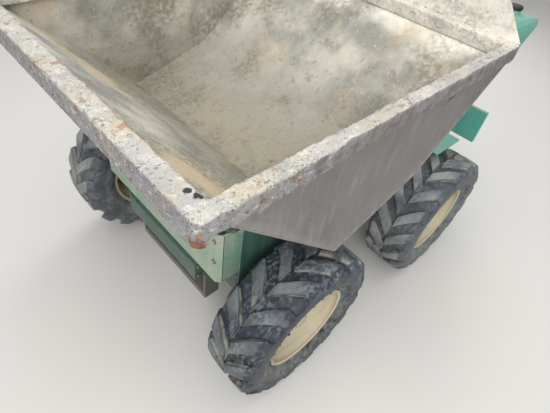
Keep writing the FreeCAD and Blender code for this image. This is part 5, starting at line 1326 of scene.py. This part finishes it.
class DUMPER_OT_station(bpy.types.Operator):
    """Finish the driver's station, and make its wheel, levers, catches and lamps"""

    bl_idname = "dumper.station"
    bl_label = "Driver's station"

    def execute(self, context):
        rounding = context.scene.dumper_sizes.edge_round
        for node in ("footplate", "engine_bay", "cowl", "engine_cover", "rear_bumper"):
            dress(node, FINISHES["teal"], rounding)
        for node in ("fuel_tank", "hydraulic_tank"):
            dress(node, FINISHES["teal"], 0.005)
        dress("pedals", FINISHES["steel"], 0.002)
        dress("exhaust", FINISHES["pipe"], 0.001)
        dress("steering_column", FINISHES["plastic"], 0.001)
        self.steering_wheel()
        self.levers()
        self.sheet_parts()
        self.tank_parts()
        self.rear_parts()
        return {"FINISHED"}

    def steering_wheel(self):
        """Three dished spokes, a moulded rim with finger grips behind, and a boss with its cap."""
        lean = math.radians(30)
        foot = Vector(axle_point(-1.135, 0, 0.380 + 0.750 - 0.025 * math.tan(lean)))
        up = Vector((-math.sin(lean), 0, math.cos(lean)))
        matrix = aim(foot, up)
        rise = 0.220 + 0.018
        form = Bundle()
        points, faces = [], []
        turns, sides = ((180, 16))
        for step in range(turns):
            turn = 2 * math.pi * step / turns
            for side in range(sides):
                round_ = 2 * math.pi * side / sides
                grip = 0.0126 - (0.0014 * (0.5 - 0.5 * math.cos(turn * 45)) if math.sin(round_) < -0.2 else 0)
                radius = 0.170 + grip * math.cos(round_)
                points.append((radius * math.cos(turn), radius * math.sin(turn), rise + grip * math.sin(round_)))
        for step in range(turns):
            for side in range(sides):
                here, after = step * sides, (step + 1) % turns * sides
                follow = (side + 1) % sides
                faces.append((here + side, after + side, after + follow, here + follow))
        form.add((points, faces), matrix)
        ring = form.piece("steering_grip", FINISHES["plastic"], "steering_wheel", "black_plastic")
        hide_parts("steering_wheel")
        arms = Bundle()
        for index in range(3):
            turn = math.radians(120 * index)
            stations = []
            for step in range(13):
                share = step / 12
                reach = 0.024 + (0.168 - 0.024) * share
                dip = 0.006 * math.sin(math.pi * share)
                wide = 0.0085 - 0.0025 * math.sin(math.pi * share)
                stations.append((Vector((reach, 0, rise - dip)), Vector((0, wide, 0)), Vector((0, 0, 0.0035))))
            section = [(math.cos(2 * math.pi * k / 14) * abs(math.cos(2 * math.pi * k / 14)) ** -0.3
                        if abs(math.cos(2 * math.pi * k / 14)) > 0.01 else 0.0,
                        math.sin(2 * math.pi * k / 14)) for k in range(14)]
            arms.add(swept(stations, section), matrix @ Matrix.Rotation(turn, 4, "Z"))
        arms.add(disc_stack([(0.0115, 0.2215), (0.025, 0.2215), (0.028, 0.226), (0.028, 0.238), (0.030, 0.244),
                             (0.030, 0.249), (0.026, 0.2535), (0.012, 0.2558)], 40), matrix)
        arms.piece("steering_spokes", FINISHES["plastic"], "steering_wheel", "black_plastic")

    def levers(self):
        stems, knobs, boots = Bundle(), Bundle(), Bundle()
        for y in (-0.110, -0.150):
            base = Vector(axle_point(-1.100, y, 1.130))
            stems.add(disc_stack([(0.0066, 0.0), (0.0066, 0.150)], 18), Matrix.Translation(base))
            knobs.add(disc_stack([(0.0080, 0.1495), (0.0092, 0.152), (0.0128, 0.159), (0.0148, 0.166), (0.0149, 0.171),
                                  (0.0132, 0.1765), (0.0085, 0.1792), (0.0020, 0.1798)], 28), Matrix.Translation(base))
            boot = [(0.0185, 0.0002)]
            for ring in range(5):
                shrink = 0.0175 - 0.0022 * ring
                boot += [(shrink, 0.003 + ring * 0.007), (shrink - 0.0030, 0.0065 + ring * 0.007)]
            boots.add(disc_stack(boot + [(0.0068, 0.038)], 28), Matrix.Translation(base))
        made = stems.piece("lever_stems", FINISHES["chrome"], "chassis", "black_plastic")
        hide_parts("control_levers")
        knobs.piece("lever_knobs", FINISHES["plastic"], "chassis", "black_plastic")
        boots.piece("lever_boots", FINISHES["hose"], "chassis", "black_plastic")

    def sheet_parts(self):
        form = Bundle()
        for side in (-1, 1):
            for z in (0.580, 0.620, 0.660, 0.700, 0.740):
                louvre(form, -1.885, 0.271, z, side, 0.13)
        form.piece("bay_louvres", FINISHES["teal"], "chassis", "teal_paint")
        tread = Bundle()
        # Raised tread bars, 22 mm long, in a herringbone on the footplate.
        for column in range(30):
            for row in range(17):
                x, y = -0.672 - column * 0.0236, -0.288 + row * 0.036
                if -1.165 < x < -1.035 and abs(y) < 0.190:
                    continue
                if x < -1.385:
                    continue
                bar = block((-0.011, -0.0024, 0), (0.011, 0.0024, 0.0022), 0.0009, 1)
                angle = math.radians(45 if (row + column) % 2 else -45)
                tread.add(bar, Matrix.Translation(axle_point(x, y, 0.6378)) @ Matrix.Rotation(angle, 4, "Z"))
        tread.piece("footplate_tread", FINISHES["steel"], "chassis", "worn_steel")
        lips = Bundle()
        for side in (-1, 1):
            lips.add(block(axle_point(-1.2545, side * 0.6045 if side < 0 else 0.5995, 0.7935),
                           axle_point(-1.0105, -0.5995 if side < 0 else 0.6045, 0.8035), 0.0018))
        lips.piece("mudguard_lips", FINISHES["teal"], "chassis", "teal_paint")
        pads = Bundle()
        for low in (-0.255, 0.205):
            for index in range(5):
                share = (index + 0.7) / 5.6
                x, z = -1.070 - 0.075 * share, 0.638 + 0.090 - 0.0375 * share
                lean = math.atan2(0.0375, 0.075)
                bar = block((-0.003, 0.004, 0), (0.003, 0.046, 0.0032), 0.001, 1)
                pads.add(bar, Matrix.Translation(axle_point(x, low, z + 0.0006)) @ Matrix.Rotation(-lean, 4, "Y"))
        pads.piece("pedal_pads", FINISHES["hose"], "chassis", "black_plastic")
        panel = Bundle()
        panel.add(block(axle_point(-1.1652, -0.150, 0.985), axle_point(-1.1595, 0.150, 1.075), 0.002))
        panel.piece("dash_panel", FINISHES["plastic"], "chassis", "black_plastic")
        dials = Bundle()
        for y, radius in ((-0.10, 0.026), (-0.03, 0.026), (0.05, 0.012), (0.09, 0.012), (0.125, 0.009)):
            dials.add(disc_stack([(radius, 0), (radius, 0.003), (radius * 0.88, 0.0042), (radius * 0.82, 0.0026),
                                  (radius * 0.1, 0.0024)], 36), aim(axle_point(-1.1650, y, 1.030), (-1, 0, 0)))
        dials.piece("dash_dials", FINISHES["zinc"], "chassis", "black_plastic")
        latches = Bundle()
        for side in (-1, 1):
            latches.add(block(axle_point(-1.4750, side * 0.2715 if side > 0 else -0.2795, 0.868),
                              axle_point(-1.4450, 0.2795 if side > 0 else side * 0.2715, 0.880), 0.002))
        latches.piece("bay_catches", FINISHES["zinc"], "chassis", "worn_steel")
        catches = Bundle()
        for side in (-1, 1):
            catches.add(block(axle_point(-1.4700, side * 0.2715 if side > 0 else -0.2765, 0.892),
                              axle_point(-1.4500, 0.2765 if side > 0 else side * 0.2715, 0.925), 0.0015))
        catches.piece("cover_catches", FINISHES["zinc"], "engine_cover", "worn_steel")

    def tank_parts(self):
        for side, name, node in ((1, "fuel", "teal"), (-1, "oil", "teal")):
            cap = Bundle()
            grip = []
            x, y, z = -1.700, side * 0.420, 1.3662
            base = axle_point(x, y, z)
            for index in range(18):
                turn = 2 * math.pi * index / 18
                rib = block((-0.0022, -0.002, 0.003), (0.0022, 0.002, 0.017), 0.0008, 1)
                cap.add(rib, Matrix.Translation(base) @ Matrix.Rotation(turn, 4, "Z") @ Matrix.Translation((0, 0.0365, 0)))
            cap.add(disc_stack([(0.0370, 0.001), (0.0375, 0.004), (0.0375, 0.016), (0.0345, 0.0205),
                                (0.0120, 0.0225), (0.0020, 0.0226)], 48), Matrix.Translation(base))
            cap.piece(name + "_cap", FINISHES["plastic"], "chassis", "black_plastic")
        seam = Bundle()
        for side in (-1, 1):
            path = [axle_point(-1.5008, side * y, z) for y, z in
                    ((0.300, 0.812), (0.300, 1.358))]
            seam.add(tube(path, 0.0024, 8, 8))
        seam.piece("tank_seams", FINISHES["teal"], "chassis", "teal_paint")
        straps = Bundle()
        for side in (-1, 1):
            bolt_row(straps, [(x, side * 0.2715, z) for x in (-1.53, -1.77) for z in (0.72, 0.76)], (0, side, 0), 0.010)
        straps.piece("shelf_bolts", FINISHES["zinc"], "chassis", "worn_steel")

    def rear_parts(self):
        lenses, bezels = Bundle(), Bundle()
        for side in (-1, 1):
            spot = axle_point(-2.080, side * 0.415, 0.580)
            bezels.add(disc_stack([(0.0376, 0.0002), (0.0376, 0.012), (0.0360, 0.0155), (0.0335, 0.0160)], 48),
                       aim(spot, (-1, 0, 0)))
            lens = [(0.0332, 0.0150)] + [(0.0332 * math.cos(0.16 * step), 0.0155 + 0.0042 * math.sin(0.16 * step))
                                         for step in range(1, 10)]
            lenses.add(disc_stack(lens, 40), aim(spot, (-1, 0, 0)))
        made = bezels.piece("lamp_bodies", FINISHES["plastic"], "chassis", "black_plastic")
        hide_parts("rear_lamps")
        lenses.piece("lamp_lenses", FINISHES["red"], "chassis", "lamp_red")
        fixings = Bundle()
        bolt_row(fixings, [(-2.0802, y, z) for y in (-0.30, -0.24, 0.24, 0.30) for z in (0.45, 0.52)],
                 (-1, 0, 0), 0.014)
        fixings.piece("rear_plate_bolts", FINISHES["zinc"], "chassis", "worn_steel")
        pin = Bundle()
        x = -2.080 - 0.013 - 0.002
        pin.add(disc_stack([(0.010, -0.0480), (0.0122, -0.0450), (0.0122, 0.0412), (0.0162, 0.0415), (0.0162, 0.0470),
                            (0.0145, 0.0490)], 32), Matrix.Translation(axle_point(x, 0, 0.470)))
        loop = []
        for step in range(13):
            turn = math.pi * step / 12
            loop.append(axle_point(x, 0.015 * math.cos(turn), 0.470 + 0.0475 + 0.016 * math.sin(turn)))
        pin.add(tube(loop, 0.0032, 10, 2))
        pin.piece("tow_pin", FINISHES["zinc"], "chassis", "worn_steel")
        silencer = Bundle()
        spot = axle_point(-2.024, -0.345, 0.80)
        silencer.add(disc_stack([(0.0238, 0.30), (0.0243, 0.302), (0.0243, 0.318), (0.0238, 0.320)], 36),
                     Matrix.Translation(spot))
        flap = disc_stack([(0.0238, 0), (0.0243, 0.0015), (0.0238, 0.003)], 36)
        silencer.add(flap, Matrix.Translation(axle_point(-2.024, -0.345, 1.2906)) @ Matrix.Rotation(math.radians(-6), 4, "Y"))
        silencer.add(block(axle_point(-2.0475, -0.3510, 1.2850), axle_point(-2.0385, -0.3390, 1.2960), 0.001))
        silencer.piece("exhaust_flap", FINISHES["pipe"], "chassis", "exhaust_steel")


# Seat

def cushion(name, node, material, lift, body):
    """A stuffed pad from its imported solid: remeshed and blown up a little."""
    source = NODES[node]
    mesh = source.data.copy()
    made = bpy.data.objects.new(name, mesh)
    bpy.context.scene.collection.objects.link(made)
    low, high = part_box(node)
    centre = (low + high) / 2
    keep = Vector((0.955, 0.965, 0.90))
    for vert in mesh.vertices:
        vert.co = Vector(centre[axis] + (vert.co[axis] - centre[axis]) * keep[axis] for axis in range(3))
    activate(made)
    remesh = made.modifiers.new("Remesh", "REMESH")
    remesh.mode = "VOXEL"
    remesh.voxel_size = 0.006
    bpy.ops.object.modifier_apply(modifier=remesh.name)
    start = [vert.co.copy() for vert in made.data.vertices]
    cloth = made.modifiers.new("Cloth", "CLOTH")
    cloth.settings.use_pressure = True
    cloth.settings.uniform_pressure_force = 4.0
    cloth.settings.effector_weights.gravity = 0.0
    cloth.settings.quality = 5
    cloth.point_cache.frame_start, cloth.point_cache.frame_end = 1, 20
    for number in range(1, 21):
        bpy.context.scene.frame_set(number)
    bpy.ops.object.modifier_apply(modifier=cloth.name)
    bpy.context.scene.frame_set(1)
    cap = 0.010
    for vert, first in zip(made.data.vertices, start):
        move = vert.co - first
        if move.length > cap:
            move *= cap / move.length
        spot = first + move
        vert.co = Vector(min(max(spot[axis], low[axis] + 0.001), high[axis] - 0.001) for axis in range(3))
    smooth = made.modifiers.new("Smooth", "SMOOTH")
    smooth.iterations = 6
    bpy.ops.object.modifier_apply(modifier=smooth.name)
    made.modifiers.new("Subdivision", "SUBSURF").levels = 1
    made.modifiers["Subdivision"].render_levels = 1
    made.data.materials.clear()
    made.data.materials.append(material)
    for face in made.data.polygons:
        face.use_smooth = True
    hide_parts(node)
    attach(made, body)
    return made


def activate(piece_object):
    for other in bpy.context.selected_objects:
        other.select_set(False)
    bpy.context.view_layer.objects.active = piece_object
    piece_object.select_set(True)


def channels(made, axis, across, spots, depth, width):
    """Press sewn channels into the face of a pad that looks along an axis."""
    for vert in made.data.vertices:
        for spot in spots:
            away = abs(vert.co[across] - spot) / width
            if away < 3:
                vert.co[axis] -= depth * math.exp(-away * away)


class DUMPER_OT_seat(bpy.types.Operator):
    """Make the stuffed seat and backrest, and the seat's piping"""

    bl_idname = "dumper.seat"
    bl_label = "Seat"

    def execute(self, context):
        pad = cushion("seat_pad", "seat_cushion", FINISHES["vinyl"], 0.0, "engine_cover")
        low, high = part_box("seat_cushion")
        spots = [low.x + (high.x - low.x) * share for share in (0.25, 0.5, 0.75)]
        middle = (low.z + high.z) / 2
        for vert in pad.data.vertices:
            if vert.co.z > middle:
                for spot in spots:
                    away = abs(vert.co.x - spot) / 0.007
                    if away < 3:
                        vert.co.z -= 0.007 * math.exp(-away * away)
        rest = cushion("seat_rest", "seat_back", FINISHES["vinyl"], 0.0, "engine_cover")
        low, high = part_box("seat_back")
        lean = 0.060 / 0.400
        for vert in rest.data.vertices:
            front = high.x - (vert.co.z - low.z) * lean
            if front - vert.co.x < 0.04:
                for share in (0.25, 0.5, 0.75):
                    away = abs(vert.co.z - (low.z + (high.z - low.z) * share)) / 0.007
                    if away < 3:
                        vert.co.x -= 0.007 * math.exp(-away * away)
        self.piping("seat_cushion", "seat_pad_piping", 0.0)
        return {"FINISHED"}

    def piping(self, node, name, lean):
        low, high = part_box(node)
        inset, corner = 0.012, 0.035
        path = []
        z = low.z + (high.z - low.z) * 0.80
        for sx, sy, start in ((1, 1, 0), (-1, 1, 90), (-1, -1, 180), (1, -1, 270)):
            cx = (high.x if sx > 0 else low.x) - sx * (inset + corner)
            cy = (high.y if sy > 0 else low.y) - sy * (inset + corner)
            for step in range(7):
                turn = math.radians(start + 15 * step)
                path.append((Vector((cx + corner * math.cos(turn), cy + corner * math.sin(turn), z)),
                             Vector((math.cos(turn), math.sin(turn), 0)) * 0.0034, Vector((0, 0, 0.0034))))
        section = [(math.cos(2 * math.pi * step / 10), math.sin(2 * math.pi * step / 10)) for step in range(10)]
        points, faces = swept(path, section, closed=True)
        piece(name, points, faces, FINISHES["hose"], "engine_cover", "seat_vinyl")


# Stage

CAMERA_PLACE = (1.633, 1.163, 1.945)
CAMERA_RIGHT = (-0.7268, 0.6755, 0.1242)
CAMERA_UP = (-0.4087, -0.5707, 0.7121)
FOCAL_PIXELS = 403.604
PICTURE_WIDTH = 550


class DUMPER_OT_stage(bpy.types.Operator):
    """Make the floor, the lights and the camera"""

    bl_idname = "dumper.stage"
    bl_label = "Stage"

    def execute(self, context):
        scene = context.scene
        floor_mesh = bpy.data.meshes.new("floor")
        reach = 14.0
        floor_mesh.from_pydata([(-reach, -reach, 0), (reach, -reach, 0), (reach, reach, 0), (-reach, reach, 0)],
                               [], [(0, 1, 2, 3)])
        floor = bpy.data.objects.new("floor", floor_mesh)
        scene.collection.objects.link(floor)
        ground = Finish("studio_floor")
        colour = ground.colour_mix(ground.patches(0.8, 0.3, 0.7), tuple(context.scene.dumper_colours.floor),
                                   tuple(value * 0.97 for value in context.scene.dumper_colours.floor))
        floor_mesh.materials.append(ground.finish(colour, 0.9))
        for name, place, target, power, size in (
                ("sky_lamp", (1.2, 0.6, 5.0), (0.0, 0.0, 0.6), 150, 5.0),
                ("key_lamp", (4.2, 3.6, 4.0), (0.2, 0.0, 0.7), 170, 2.6),
                ("rear_lamp", (-4.0, -2.8, 3.6), (-0.3, 0.0, 0.8), 110, 3.0)):
            data = bpy.data.lights.new(name, "AREA")
            data.energy, data.size = power, size
            lamp = bpy.data.objects.new(name, data)
            scene.collection.objects.link(lamp)
            lamp.location = place
            lamp.rotation_euler = (Vector(target) - Vector(place)).to_track_quat("-Z", "Y").to_euler()
        world = bpy.data.worlds.new("studio")
        world.use_nodes = True
        world.node_tree.nodes["Background"].inputs["Color"].default_value = rgba(linear("#e6e8ea"))
        world.node_tree.nodes["Background"].inputs["Strength"].default_value = 0.55
        scene.world = world
        data = bpy.data.cameras.new("photo_camera")
        data.sensor_width = 36.0
        data.lens = FOCAL_PIXELS * 36.0 / PICTURE_WIDTH
        data.clip_end = 60.0
        camera = bpy.data.objects.new("photo_camera", data)
        scene.collection.objects.link(camera)
        right, up = Vector(CAMERA_RIGHT).normalized(), Vector(CAMERA_UP).normalized()
        back = right.cross(up)
        camera.matrix_world = Matrix.Translation(CAMERA_PLACE) @ Matrix(
            ((right.x, up.x, back.x, 0), (right.y, up.y, back.y, 0), (right.z, up.z, back.z, 0), (0, 0, 0, 1)))
        scene.camera = camera
        scene.view_settings.view_transform = "Standard"
        return {"FINISHED"}


class DUMPER_PT_panel(bpy.types.Panel):
    """Lists the dumper's operators and settings"""

    bl_idname = "DUMPER_PT_panel"
    bl_label = "Site Dumper"
    bl_space_type = "VIEW_3D"
    bl_region_type = "UI"
    bl_category = "Dumper"

    def draw(self, context):
        layout = self.layout
        for operator in OPERATORS:
            layout.operator(operator.bl_idname)
        for group in (context.scene.dumper_sizes, context.scene.dumper_colours):
            for name in group.__annotations__:
                layout.prop(group, name)


OPERATORS = (DUMPER_OT_tyres, DUMPER_OT_wheels, DUMPER_OT_skip, DUMPER_OT_chassis, DUMPER_OT_station,
             DUMPER_OT_seat, DUMPER_OT_stage)
CLASSES = (DumperColours, DumperSizes, *OPERATORS, DUMPER_PT_panel)
FINISHES = {}


def register():
    for each in CLASSES:
        bpy.utils.register_class(each)
    bpy.types.Scene.dumper_colours = PointerProperty(type=DumperColours)
    bpy.types.Scene.dumper_sizes = PointerProperty(type=DumperSizes)


def unregister():
    del bpy.types.Scene.dumper_sizes
    del bpy.types.Scene.dumper_colours
    for each in reversed(CLASSES):
        bpy.utils.unregister_class(each)


def main():
    register()
    FINISHES.update(make_finishes(bpy.context.scene.dumper_colours))
    bpy.ops.dumper.tyres()
    bpy.ops.dumper.wheels()
    bpy.ops.dumper.skip()
    bpy.ops.dumper.chassis()
    bpy.ops.dumper.station()
    bpy.ops.dumper.seat()
    bpy.ops.dumper.stage()


if __name__ == "__main__":
    main()
